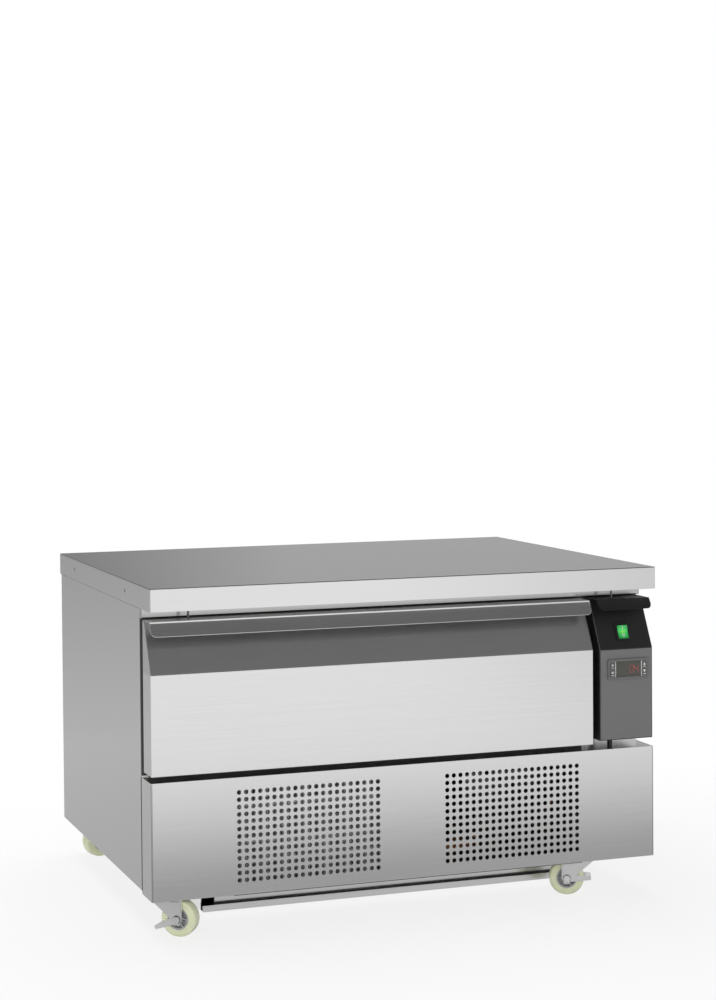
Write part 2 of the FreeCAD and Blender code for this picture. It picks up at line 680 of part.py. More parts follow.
def back_screw_place(side, height):
    return (f"{side} * (side_in - screw_edge)", BACK_SCREW_Z[height])


def back_screw_tools():
    hole = "screw_size + 2 * bolt_gap"
    through = ("back_in", "cabinet_back")
    return [rod("y", back_screw_place(side, height), through, hole) for side, height in BACK_SCREWS]


# insulated box: foam between the skins and a steel liner, with holes for pipes and drain
def make_insulated_box():
    foam = block(("-side_in", "box_right"), ("foam_front", "back_in"), ("box_bottom", "worktop_under"))
    tub_x = ("cavity_left - liner", "cavity_right + liner")
    tub_y = ("cabinet_front", "cavity_back + liner")
    tub_z = ("cavity_floor - liner", "cavity_top + liner")
    node("cabinet_insulation", cut(foam, block(tub_x, tub_y, tub_z), *box_holes()))
    cavity = block(
        ("cavity_left", "cavity_right"),
        ("cabinet_front", "cavity_back"),
        ("cavity_floor", "cavity_top"),
    )
    node("inner_liner", cut(block(tub_x, tub_y, tub_z), cavity, *box_holes()))


def box_holes():
    """Holes for the two pipes in the right wall and the drain in the floor."""
    wall = ("cavity_right - pipe_gap", "box_right + pipe_gap")
    floor = ("box_bottom - pipe_gap", "cavity_floor")
    return [
        rod("x", ("cool_pipe_y", "suction_z"), wall, "suction_size + 2 * pipe_gap"),
        rod("x", ("cool_pipe_y", "liquid_z"), wall, "liquid_size + 2 * pipe_gap"),
        rod("z", ("drain_x", "drain_y"), floor, "drain_size + 2 * bolt_gap"),
    ]


# rail under the worktop and the frame that the drawer's gasket closes on
def make_front():
    corners = [
        ("cabinet_front - rail_depth", "rail_bottom"),
        ("cabinet_front", "rail_bottom"),
        ("cabinet_front", "worktop_under"),
        ("cabinet_front - rail_depth", "worktop_under"),
    ]
    rail = sweep("x", corners, ("-side_out", "side_out"))
    low, front = number("rail_bottom"), number("cabinet_front") - number("rail_depth")

    def lower_front(box):
        return along("X")(box) and box.ZMax < low + EDGE_TOLERANCE and box.YMax < front + EDGE_TOLERANCE

    node("top_rail", rounded(rail, "rail_round", lower_front))
    depth = ("frame_front", "cabinet_front")
    ring = block(("-side_out", "box_right"), depth, ("frame_bottom", "rail_bottom"))
    mouth = block(("cavity_left", "cavity_right"), depth, ("cavity_floor", "cavity_top"))
    node("front_frame", cut(ring, mouth))


# grille panel: a folded cover with two fields of round holes
def make_grille_panel():
    face, sheet = number("panel_face"), number("skin")
    side, low, high = number("side_out"), number("panel_bottom"), number("panel_top")
    pitch, radius = number("hole_pitch"), number("hole_size") / 2
    forward = FreeCAD.Vector(0, -1, 0)
    corners = [(-side, low), (side, low), (side, high), (-side, high), (-side, low)]
    wires = [Part.makePolygon([FreeCAD.Vector(x, face, z) for x, z in corners])]
    for field in SIDES:
        for column in range(int(number("hole_columns"))):
            x = field * (number("grille_inner") + column * pitch)
            for row in range(int(number("hole_rows"))):
                middle = FreeCAD.Vector(x, face, number("grille_bottom") + row * pitch)
                wires.append(Part.Wire(Part.makeCircle(radius, middle, forward)))
    holed = Part.Face(wires, "Part::FaceMakerBullseye")
    front = solid(holed.extrude(FreeCAD.Vector(0, sheet, 0)))
    depth = ("panel_face + skin", "cabinet_front")
    whole = ("panel_bottom", "panel_top")
    ledge = block(("-side_out", "side_out"), depth, ("panel_top - skin", "panel_top"))
    ends = [block(mirrored_span(side, "side_in", "side_out"), depth, whole) for side in SIDES]
    hem_depth = ("panel_face + skin", "panel_face + fold")
    hem = block(("-side_out", "side_out"), hem_depth, ("panel_bottom", "panel_bottom + skin"))
    node("lower_front_panel", joined(front, ledge, hem, *ends))


# base plate with upturned edges, the strip under it and the tray that it carries
def make_base():
    width = ("-side_in", "side_in")
    depth = ("panel_face + skin + base_front_gap", "back_in")
    plate = block(width, depth, ("base_under", "base_top"))
    rim_height = ("base_top", "base_top + base_flange")
    rims = [
        block(mirrored_span(side, "side_in - base_sheet", "side_in"), ("foam_front", "back_in"), rim_height)
        for side in SIDES
    ]
    rims.append(block(width, ("back_in - base_sheet", "back_in"), rim_height))
    strip = block(
        ("-strip_half", "strip_half"),
        ("strip_front", "strip_front + base_sheet"),
        ("strip_bottom", "base_under"),
    )
    drain = rod(
        "z", ("drain_x", "drain_outlet_y"), ("base_under", "base_top"), "drain_size + 2 * bolt_gap"
    )
    rim_y = ("back_in - base_sheet", "back_in")
    hole = "screw_size + 2 * bolt_gap"
    screws = [rod("y", back_screw_place(side, "low"), rim_y, hole) for side in SIDES]
    node("base_frame", cut(joined(plate, strip, *rims), drain, *screws, *caster_bolt_holes()))
    tray_x = ("-tray_half", "tray_half")
    tray_y = ("tray_front", "tray_back")
    floor = block(tray_x, tray_y, ("tray_bottom", "tray_bottom + worktop_sheet"))
    lip_y = ("tray_front", "tray_front + worktop_sheet")
    lip = block(tray_x, lip_y, ("tray_bottom", "tray_bottom + tray_lip"))
    wall_z = ("tray_bottom", "base_under")
    back = block(tray_x, ("tray_back - worktop_sheet", "tray_back"), wall_z)
    walls = []
    for side in SIDES:
        span = mirrored_span(side, "tray_half - worktop_sheet", "tray_half")
        walls.append(block(span, ("strip_front + base_sheet", "tray_back"), wall_z))
    node("base_tray", joined(floor, lip, back, *walls))


# handle profile shared by the drawer and the control box: a slanted face under a forward lip
def lip_corners(wall, foot):
    """Corners of the lip from the slanted face's top to the lip's own top, front last."""
    under = f"drawer_top - {wall}"
    return [
        ("face + slant_run", under),
        (f"lip_top_y + {wall}", under),
        (f"lip_foot_y + {wall}", foot),
        ("lip_foot_y", foot),
        ("lip_top_y", "drawer_top"),
    ]


def lip_corner_tools(x, foot):
    """What is cut away to round the two lower corners of a lip that spans x."""
    depth = ("lip_foot_y", "lip_top_y + lip_sheet")
    height = (foot, f"{foot} + lip_round")
    left, right = x
    tools = []
    for near, far, centre in (
        (left, f"{left} + lip_round", f"{left} + lip_round"),
        (f"{right} - lip_round", right, f"{right} - lip_round"),
    ):
        round_corner = rod("y", (centre, f"{foot} + lip_round"), depth, "2 * lip_round")
        tools.append(cut(block((near, far), depth, height), round_corner))
    return tools


def make_drawer_front():
    x = ("drawer_left", "drawer_right")
    inner_x = ("drawer_left + skin", "drawer_right - skin")
    pan = block(x, ("face", "drawer_back"), ("drawer_bottom", "slant_start"))
    hollow = block(inner_x, ("face + skin", "drawer_back"), ("drawer_bottom + skin", "slant_start"))
    node("drawer_front_skin", cut(pan, hollow))
    foot = "drawer_top - lip_drop"
    hook = [("face", "slant_start")] + lip_corners("lip_sheet", foot) + [
        ("drawer_back", "drawer_top"),
        ("drawer_back", "drawer_top - lip_sheet"),
        ("face + slant_run + lip_sheet", "drawer_top - lip_sheet"),
        ("face + lip_sheet", "slant_start"),
    ]
    profile = cut(sweep("x", hook, inner_x), *lip_corner_tools(inner_x, foot))
    wedge = [
        ("face", "slant_start"),
        ("face + slant_run", "drawer_top - lip_sheet"),
        ("drawer_back", "drawer_top - lip_sheet"),
        ("drawer_back", "slant_start"),
    ]
    ends = [
        sweep("x", wedge, ("drawer_left", "drawer_left + skin")),
        sweep("x", wedge, ("drawer_right - skin", "drawer_right")),
    ]
    node("drawer_handle", group(profile, *ends))
    core_back = "drawer_back - drawer_back_sheet"
    filling = [
        ("face + skin", "drawer_bottom + skin"),
        ("face + skin", "slant_start - drawer_core_gap"),
        ("face + lip_sheet + 2 * drawer_core_gap", "slant_start - drawer_core_gap"),
        ("face + slant_run + lip_sheet + drawer_core_gap", "drawer_top - lip_sheet - drawer_core_gap"),
        (core_back, "drawer_top - lip_sheet - drawer_core_gap"),
        (core_back, "drawer_bottom + skin"),
    ]
    node("drawer_front_core", sweep("x", filling, inner_x))
    plate_z = ("drawer_bottom + skin", "drawer_top - lip_sheet")
    node("drawer_front_liner", block(inner_x, (core_back, "drawer_back"), plate_z))
    outer_x = ("drawer_left + gasket_inset", "drawer_right - gasket_inset")
    outer_z = ("drawer_bottom + gasket_inset", "drawer_top - gasket_inset")
    depth = ("drawer_back", "frame_front - gasket_gap")
    ring = block(outer_x, depth, outer_z)
    mouth_x = (f"{outer_x[0]} + gasket_wide", f"{outer_x[1]} - gasket_wide")
    mouth_z = (f"{outer_z[0]} + gasket_wide", f"{outer_z[1]} - gasket_wide")
    node("drawer_gasket", cut(ring, block(mouth_x, depth, mouth_z)))


# tub and its telescopic runners: a fixed, a middle and a moving member on each side
def make_drawer_inside():
    tub_x = ("cavity_left + runner_thick", "cavity_right - runner_thick")
    tub_y = ("drawer_back", "drawer_back + tub_length")
    tub_z = ("tub_bottom", "tub_top")
    inner = [(f"{low} + tub_wall", f"{high} - tub_wall") for low, high in (tub_x, tub_y)]
    room = block(*inner, ("tub_bottom + tub_wall", "tub_top"))
    node("drawer_tub", cut(block(tub_x, tub_y, tub_z), room))
    sheet, gap = "runner_sheet", "runner_gap"
    half = "runner_height / 2"
    reach = f"runner_thick - {sheet} - {gap}"
    step = f"({sheet} + {gap})"
    members = {
        "cabinet_runners": ("0", sheet, reach, half),
        "middle_runners": (step, f"{step} + {sheet}", reach, f"{half} - {step}"),
        "drawer_runners": (f"2 * {step}", None, "runner_thick", f"{half} - 2 * {step}"),
    }
    length = ("runner_front", "runner_front + runner_length")
    for label, (near, web_end, far, tall) in members.items():
        web = (near, web_end) if web_end else (f"runner_thick - {sheet}", "runner_thick")
        pieces = []
        for side in SIDES:
            heights = [
                (web, (f"runner_mid - ({tall})", f"runner_mid + {tall}")),
                ((near, far), (f"runner_mid + {tall} - {sheet}", f"runner_mid + {tall}")),
                ((near, far), (f"runner_mid - ({tall})", f"runner_mid - ({tall}) + {sheet}")),
            ]
            pieces.append(joined(*(block(from_wall(side, span), length, z) for span, z in heights)))
        node(label, group(*pieces))


def from_wall(side, span):
    """A span measured inwards from the cavity's left or right face."""
    near, far = span
    if side < 0:
        return (f"cavity_left + {near}", f"cavity_left + {far}")
    return (f"cavity_right - ({far})", f"cavity_right - ({near})")


# control box beside the drawer, open at the back, with a fascia over its front
def make_control_box():
    foot = "drawer_top - control_lip_drop"
    outer = [
        ("cabinet_front", "control_bottom"),
        ("face", "control_bottom"),
        ("face", "slant_start"),
    ] + lip_corners("lip_sheet", foot) + [("cabinet_front", "drawer_top")]
    inner = [
        ("cabinet_front", "control_bottom + control_wall"),
        ("face + control_wall", "control_bottom + control_wall"),
        ("face + control_wall", "slant_start"),
        ("face + slant_run + control_wall", "drawer_top - lip_sheet - control_wall"),
        ("cabinet_front", "drawer_top - lip_sheet - control_wall"),
    ]
    width = ("control_left", "control_right")
    shell = sweep("x", outer, width)
    hollow = sweep("x", inner, ("control_left + control_wall", "control_right - control_wall"))
    case_x, case_z = case_cutout()
    opening = block(case_x, ("face", "face + control_wall"), case_z)
    switch_hole = on_slant(
        block(
            ("-switch_body_width / 2 - case_gap", "switch_body_width / 2 + case_gap"),
            ("-switch_frame", "2 * control_wall"),
            ("-switch_body_height / 2 - case_gap", "switch_body_height / 2 + case_gap"),
        )
    )
    node("control_housing", cut(shell, hollow, opening, switch_hole, *lip_corner_tools(width, foot)))
    plate = block(
        ("control_left + fascia_inset", "control_right - fascia_inset"),
        ("fascia_face", "face"),
        ("control_bottom + fascia_inset", "slant_start - fascia_inset"),
    )
    node("control_fascia", cut(plate, block(case_x, ("fascia_face", "face"), case_z)))
    conduit_x = "control_left + conduit_offset"
    conduit_y = "(face + frame_front) / 2"
    conduit_z = ("panel_top", "control_bottom")
    node("wiring_conduit", rod("z", (conduit_x, conduit_y), conduit_z, "conduit_size"))


def case_cutout():
    """The controller case's opening, as its spans along X and Z."""
    wide, tall = "case_width / 2 + case_gap", "case_height / 2 + case_gap"
    return (
        (f"bezel_x - ({wide})", f"bezel_x + {wide}"),
        (f"bezel_mid - ({tall})", f"bezel_mid + {tall}"),
    )


def centred(middle, length):
    return (f"{middle} - ({length}) / 2", f"{middle} + ({length}) / 2")


# temperature controller: bezel and case in one, a display pane and four keys
def make_controller():
    corners = [
        (f"bezel_x {across} bezel_width / 2", f"bezel_mid {up} bezel_height / 2")
        for across, up in (("-", "-"), ("+", "-"), ("+", "+"), ("-", "+"))
    ]
    bezel = rounded(sweep("y", corners, ("bezel_face", "fascia_face")), "bezel_round", along("Y"))
    case = block(
        centred("bezel_x", "case_width"),
        ("fascia_face", "fascia_face + case_depth"),
        centred("bezel_mid", "case_height"),
    )
    pane_y = ("bezel_face + window_sink", "bezel_face + window_sink + window_thick")
    window_x = centred("bezel_x", "window_width")
    window_z = centred("bezel_mid", "window_height")
    recess = block(window_x, ("bezel_face", pane_y[1]), window_z)
    key_front = "bezel_face - key_proud"
    key_back = "fascia_face - key_travel - key_stop"
    pockets = []
    for across, up in KEY_PLACES:
        x, z = f"bezel_x {across} key_offset", f"bezel_mid {up} key_spread"
        pocket_x = centred(x, "key_width + 2 * key_gap")
        pocket_z = centred(z, "key_height + 2 * key_gap")
        pockets.append(block(pocket_x, ("bezel_face", "fascia_face"), pocket_z))
    node("controller_case", cut(joined(bezel, case), recess, *pockets))
    node("display_window", block(window_x, pane_y, window_z))
    for label, (across, up) in zip(KEY_LABELS, KEY_PLACES):
        x, z = f"bezel_x {across} key_offset", f"bezel_mid {up} key_spread"
        key = block(centred(x, "key_width"), (key_front, key_back), centred(z, "key_height"))
        node(label, key)


KEY_LABELS = ("set_key", "defrost_key", "up_key", "down_key")
KEY_PLACES = (("-", "+"), ("-", "-"), ("+", "+"), ("+", "-"))


def on_slant(piece):
    """Sets a piece made about the origin, facing -Y, on the slanted face at the switch."""
    held = group(piece)
    held.Placement.Rotation = FreeCAD.Rotation(FreeCAD.Vector(1, 0, 0), -1)
    held.setExpression("Placement.Rotation.Angle", linked("-slant_angle"))
    set_base(held, "control_mid", "switch_y", "switch_z")
    return held


# power switch: a frame with its body, and a rocker on two pins
def make_switch():
    def middle_block(width, depth, height):
        return block(centred("0", width), depth, centred("0", height))

    frame = middle_block("switch_width", ("-switch_frame", "0"), "switch_height")
    body = middle_block("switch_body_width", ("0", "switch_depth"), "switch_body_height")
    well = middle_block(
        "rocker_width + 2 * rocker_gap",
        ("-switch_frame", "switch_depth - control_wall"),
        "rocker_height + 2 * rocker_swing_gap",
    )
    pin_span = ("-switch_body_width / 2", "switch_body_width / 2")
    bearing = rod("x", ("rocker_pivot", "0"), pin_span, "2 * (pivot_pin + fit_gap)")
    node("switch_frame_body", on_slant(cut(joined(frame, body), well, bearing)))
    # the rocker is drawn about its pivot
    front = "-rocker_pivot - rocker_proud"
    end = "rocker_height / 2"
    side = "-rocker_pivot + rocker_skirt"
    profile = [
        (front, f"-{end}"),
        (f"{front} + rocker_hollow", "0"),
        (front, end),
        (side, end),
        ("rocker_boss / 2", "rocker_boss"),
        ("rocker_boss / 2", "-rocker_boss"),
        (side, f"-{end}"),
    ]
    cap = sweep("x", profile, centred("0", "rocker_width"))
    pins = rod("x", ("0", "0"), centred("0", "switch_body_width - 2 * rocker_gap"), "2 * pivot_pin")
    leaning = group(joined(cap, pins))
    leaning.Placement.Rotation = FreeCAD.Rotation(FreeCAD.Vector(1, 0, 0), 1)
    leaning.setExpression("Placement.Rotation.Angle", linked("rocker_tilt"))
    set_base(leaning, "0", "rocker_pivot", "0")
    node("power_rocker", on_slant(leaning))


# casters: plates bolted to the base, swivelling forks, wheels on axle bolts, two brake levers
CASTERS = {
    "front_left": ("-worktop_side + caster_left", "worktop_front + caster_front_y"),
    "front_right": ("worktop_side - caster_right", "worktop_front + caster_front_y"),
    "rear_left": ("-worktop_side + caster_left", "worktop_back - caster_rear_y"),
    "rear_right": ("worktop_side - caster_right", "worktop_back - caster_rear_y"),
}
BRAKED = {"front_left": "lever_pressed", "front_right": "0"}
BOLT_CORNERS = [(across, along_y) for across in SIDES for along_y in SIDES]


def at_caster(piece, corner):
    """Sets a piece made about a swivel axis at its corner, at that caster's turn."""
    held = group(piece)
    held.Placement.Rotation = FreeCAD.Rotation(FreeCAD.Vector(0, 0, 1), 1)
    held.setExpression("Placement.Rotation.Angle", linked(f"{corner}_turn"))
    set_base(held, *CASTERS[corner], "0")
    return held


def caster_bolt_places():
    return [
        (f"{x} + {across} * bolt_offset", f"{y} + {along_y} * bolt_offset")
        for x, y in CASTERS.values()
        for across, along_y in BOLT_CORNERS
    ]


def caster_bolt_holes():
    hole = "bolt_size + 2 * bolt_gap"
    return [rod("z", spot, ("base_under - plate_thick", "base_top"), hole) for spot in caster_bolt_places()]


def make_casters():
    plates = []
    for x, y in CASTERS.values():
        plate_z = ("base_under - plate_thick", "base_under")
        plate = block(centred(x, "plate_size"), centred(y, "plate_size"), plate_z)
        ring = rod("z", (x, y), ("crown_top + swivel_gap", "base_under - plate_thick"), "swivel_ring")
        bore_span = ("crown_top + swivel_gap", "base_under")
        bore = rod("z", (x, y), bore_span, "king_pin + 2 * fit_gap")
        plates.append(cut(joined(plate, ring), bore))
    node("caster_plates", cut(group(*plates), *caster_bolt_holes()))
    fork, wheel = fork_solid(), wheel_solids()
    axle = axle_solid("leg_out")
    for corner in CASTERS:
        node(f"{corner}_fork", at_caster(fork, corner))
        node(f"{corner}_wheel", at_caster(wheel, corner))
        node(f"{corner}_axle", at_caster(axle, corner))
        if corner in BRAKED:
            node(f"{corner}_brake_lever", at_caster(lever_solid(BRAKED[corner]), corner))


def fork_solid():
    crown = rod("z", ("0", "0"), ("crown_bottom", "crown_top"), "fork_crown")
    pin = rod("z", ("0", "0"), ("crown_bottom", "base_under"), "king_pin")
    yoke = block(
        ("-fork_shoulder", "caster_trail + fork_foot"),
        ("-leg_out", "leg_out"),
        ("crown_bottom", "crown_bottom + fork_sheet"),
    )
    leg = [
        ("-fork_shoulder", "crown_bottom"),
        ("caster_trail + fork_foot", "crown_bottom"),
        ("caster_trail + fork_foot", "axle_z"),
        ("caster_trail + fork_foot / 2", "axle_z - fork_foot"),
        ("caster_trail - fork_foot / 2", "axle_z - fork_foot"),
        ("caster_trail - fork_foot", "axle_z"),
    ]
    legs = [sweep("y", leg, mirrored_span(side, "leg_in", "leg_out")) for side in SIDES]
    hole = rod("y", ("caster_trail", "axle_z"), ("-leg_out", "leg_out"), "axle_size + 2 * fit_gap")
    return cut(joined(crown, pin, yoke, *legs), hole)


def wheel_solids():
    """A tyre and its hub, on the axle's line."""
    spot = ("caster_trail", "axle_z")
    half = "wheel_width / 2"
    radius, width = number("wheel_size") / 2, number("wheel_width")
    round_edge = number("wheel_round")
    tread = Part.makeCylinder(radius, width, FreeCAD.Vector(0, -width / 2, 0), FreeCAD.Vector(0, 1, 0))
    rims = [edge for edge in tread.Edges if edge.BoundBox.YLength < EDGE_TOLERANCE]
    tread = solid(tread.makeFillet(round_edge, rims))
    set_base(tread, spot[0], "0", spot[1])
    span = (f"-({half})", half)
    tyre = cut(tread, rod("y", spot, span, "hub_size + 2 * fit_gap"))
    hub_span = (f"-({half}) - hub_proud", f"{half} + hub_proud")
    hub = cut(rod("y", spot, hub_span, "hub_size"), rod("y", spot, hub_span, "axle_size + 2 * fit_gap"))
    return group(tyre, hub)


def axle_solid(seat):
    """An axle bolt with a head against one seat and a nut against the other."""
    spot = ("caster_trail", "axle_z")
    shank = rod("y", spot, (f"-({seat})", seat), "axle_size")
    head = (seat, f"{seat} + axle_head_thick")
    heads = [rod("y", spot, mirrored_span(side, *head), "axle_head") for side in SIDES]
    return joined(shank, *heads)


def lever_solid(turn):
    """A brake lever drawn about the axle, with two arms and a foot plate, then turned about it."""
    arm = [
        ("-lever_reach", "-lever_neck"),
        ("0", "-lever_foot"),
        ("lever_foot", "0"),
        ("0", "lever_foot"),
        ("-lever_reach", "lever_neck"),
    ]
    arms = [sweep("y", arm, mirrored_span(side, "lever_in", "lever_out")) for side in SIDES]
    tread = block(
        ("-lever_reach", "-lever_reach + lever_tread"),
        ("-lever_out", "lever_out"),
        ("lever_neck - lever_sheet", "lever_neck"),
    )
    hole = rod("y", ("0", "0"), ("-lever_out", "lever_out"), "axle_size + 2 * fit_gap")
    made = group(cut(joined(tread, *arms), hole))
    made.Placement.Rotation = FreeCAD.Rotation(FreeCAD.Vector(0, 1, 0), 1)
    made.setExpression("Placement.Rotation.Angle", linked(f"-({turn})"))
    set_base(made, "caster_trail", "0", "axle_z")
    return made


# finned coils: end plates and fins on rows of tubes, joined by bends at one end
def finned_coil(left, right, front, back, bottom, height):
    plate, sheet, pitch = number("coil_plate"), number("fin_sheet"), number("fin_pitch")
    radius, step = number("coil_tube") / 2, number("coil_tube_pitch")
    depth = back - front
    rows = int((height - 2 * number("coil_tube_edge")) // step) + 1
    first_z = bottom + (height - (rows - 1) * step) / 2

    def wall(x, thick):
        return Part.makeBox(thick, depth, height, FreeCAD.Vector(x, front, bottom))

    pieces = [wall(left, plate), wall(right - plate, plate)]
    count = int((right - left - 2 * plate) // pitch)
    inset = (right - left - (count - 1) * pitch) / 2
    for index in range(count):
        pieces.append(wall(left + inset + index * pitch - sheet / 2, sheet))
    middle = (front + back) / 2
    for row in range(rows):
        start = FreeCAD.Vector(left, middle, first_z + row * step)
        pieces.append(Part.makeCylinder(radius, right - left, start, FreeCAD.Vector(1, 0, 0)))
    return solid(pieces[0].fuse(pieces[1:]))


# fans: pitched blades round a hub on a short shaft, turning about Y
def fan_solid(x, z, front, back, diameter, shaft_end):
    hub = number("fan_hub") / 2
    thick, chord = number("fan_blade"), number("fan_chord")
    axis = FreeCAD.Vector(0, 1, 0)
    centre = FreeCAD.Vector(0, (front + back) / 2, 0)
    blade = Part.makeBox(chord, thick, diameter / 2, FreeCAD.Vector(-chord / 2, centre.y - thick / 2, 0))
    blade.rotate(centre, FreeCAD.Vector(0, 0, 1), number("fan_pitch"))
    sweep_round = Part.makeCylinder(diameter / 2, back - front, FreeCAD.Vector(0, front, 0), axis)
    pieces = []
    for index in range(int(number("fan_blades"))):
        copy = blade.copy()
        copy.rotate(centre, axis, 360 * index / number("fan_blades"))
        pieces.append(copy.common(sweep_round))
    start = FreeCAD.Vector(0, front, 0)
    pieces.append(Part.makeCylinder(number("shaft_size") / 2, shaft_end - front, start, axis))
    body = Part.makeCylinder(hub, back - front, start, axis)
    made = solid(body.fuse(pieces))
    made.Placement.Base = FreeCAD.Vector(x, 0, z)
    return made


def make_condenser():
    span = [number(name) for name in ("coil_left", "coil_right", "coil_front", "coil_back")]
    node("condenser_coil", finned_coil(*span, number("base_top"), number("coil_height")))
    outer_x = ("coil_left", "coil_right")
    outer_z = ("base_top", "base_top + coil_height")
    hood = block(outer_x, ("coil_back", "shroud_back"), outer_z)
    room = block(
        ("coil_left + shroud_sheet", "coil_right - shroud_sheet"),
        ("coil_back", "shroud_back - shroud_sheet"),
        ("base_top + shroud_sheet", "base_top + coil_height - shroud_sheet"),
    )
    mouth = rod("y", ("coil_mid", "fan_z"), ("coil_back", "shroud_back"), "fan_size + 2 * fan_gap")
    node("condenser_shroud", cut(hood, room, mouth))
    barrel = rod("y", ("coil_mid", "fan_z"), ("motor_front", "motor_back"), "motor_size")
    foot = block(
        centred("coil_mid", "motor_foot"),
        ("motor_back", "motor_back + motor_foot_sheet"),
        ("base_top", "fan_z + motor_foot / 2"),
    )
    shaft_room = ("motor_front", "motor_front + shaft_length")
    bore = rod("y", ("coil_mid", "fan_z"), shaft_room, "shaft_size + 2 * fit_gap")
    node("condenser_fan_motor", cut(joined(barrel, foot), bore))
    ends = [number(name) for name in ("coil_mid", "fan_z", "fan_front", "fan_back", "fan_size")]
    shaft_end = number("motor_front") + number("shaft_length") - number("motor_gap")
    node("condenser_fan", fan_solid(*ends, shaft_end))


# compressor: a round shell with two pipe stubs on a plate with four rubber feet
def make_compressor():
    x, y, foot = number("compressor_x"), number("compressor_y"), number("shell_foot")
    radius, height = number("compressor_size") / 2, number("compressor_height")
    drum = Part.makeCylinder(radius, height, FreeCAD.Vector(x, y, foot))
    rims = [edge for edge in drum.Edges if edge.BoundBox.ZLength < EDGE_TOLERANCE]
    drum = solid(drum.makeFillet(number("compressor_round"), rims))
    stub_end = "compressor_size / 2 + stub_proud"
    stubs = [
        rod(
            "x",
            ("compressor_y", "shell_foot + discharge_rise"),
            (f"compressor_x - ({stub_end})", "compressor_x"),
            "stub_size",
        ),
        rod(
            "x",
            ("compressor_y", "shell_foot + suction_rise"),
            ("compressor_x", f"compressor_x + {stub_end}"),
            "stub_size",
        ),
    ]
    plate = block(
        centred("compressor_x", "2 * compressor_plate_half"),
        centred("compressor_y", "compressor_plate_width"),
        ("shell_foot - compressor_plate", "shell_foot"),
    )
    reach_x = "compressor_plate_half - foot_inset"
    reach_y = "compressor_plate_width / 2 - foot_inset"
    foot_z = ("base_top", "shell_foot - compressor_plate")
    feet = []
    for across, along_y in BOLT_CORNERS:
        spot = (f"compressor_x + {across} * ({reach_x})", f"compressor_y + {along_y} * ({reach_y})")
        feet.append(rod("z", spot, foot_z, "foot_size"))
    node("compressor", group(joined(drum, plate, *stubs), *feet))


# refrigerant circuit: discharge to the condenser, liquid line with its drier, suction line
def make_pipes():
    bend = number("pipe_bend")
    stub_end = number("compressor_size") / 2 + number("stub_proud")
    compressor_x, compressor_y = number("compressor_x"), number("compressor_y")
    coil_x = number("coil_right")
    coil_y = (number("coil_front") + number("coil_back")) / 2
    pipe_x, pipe_y = number("pipe_x"), number("pipe_y")
    cool_x, cool_y = number("cool_right"), number("cool_pipe_y")
    hot_z = number("shell_foot") + number("discharge_rise")
    cold_z = number("shell_foot") + number("suction_rise")
    stub_x = compressor_x - stub_end
    turn_x = (coil_x + stub_x) / 2
    discharge = [
        (stub_x, compressor_y, hot_z),
        (turn_x, compressor_y, hot_z),
        (turn_x, coil_y, hot_z),
        (coil_x, coil_y, hot_z),
    ]
    liquid_z = number("base_top") + number("liquid_drop")
    drier_x = coil_x + number("drier_start")
    drier_end = drier_x + number("drier_length")
    liquid_turn = drier_end + 2 * bend
    liquid = [
        (drier_end, coil_y, liquid_z),
        (liquid_turn, coil_y, liquid_z),
        (liquid_turn, pipe_y, liquid_z),
        (pipe_x, pipe_y, liquid_z),
        (pipe_x, cool_y, liquid_z),
        (pipe_x, cool_y, number("liquid_z")),
        (cool_x, cool_y, number("liquid_z")),
    ]
    suction_x = pipe_x + number("suction_size") + bend
    suction = [
        (compressor_x + stub_end, compressor_y, cold_z),
        (suction_x, compressor_y, cold_z),
        (suction_x, cool_y, cold_z),
        (suction_x, cool_y, number("suction_z")),
        (cool_x, cool_y, number("suction_z")),
    ]
    first_liquid = [(coil_x, coil_y, liquid_z), (drier_x, coil_y, liquid_z)]
    drier = Part.makeCylinder(
        number("drier_size") / 2,
        number("drier_length"),
        FreeCAD.Vector(drier_x, coil_y, liquid_z),
        FreeCAD.Vector(1, 0, 0),
    )
    tubes = [
        bent_tube(discharge, number("discharge_size"), bend),
        bent_tube(first_liquid, number("liquid_size"), bend),
        bent_tube(liquid, number("liquid_size"), bend),
        bent_tube(suction, number("suction_size"), bend),
    ]
    node("refrigerant_pipes", group(*[solid(tube) for tube in tubes], solid(drier)))
    drain_x, drain_y = number("drain_x"), number("drain_y")
    outlet_y = number("drain_outlet_y")
    level = number("box_bottom") - number("drain_turn")
    end = number("tray_bottom") + number("drain_end")
    route = [
        (drain_x, drain_y, number("cavity_floor")),
        (drain_x, drain_y, level),
        (drain_x, outlet_y, level),
        (drain_x, outlet_y, end),
    ]
    node("drain_pipe", solid(bent_tube(route, number("drain_size"), number("drain_bend"))))


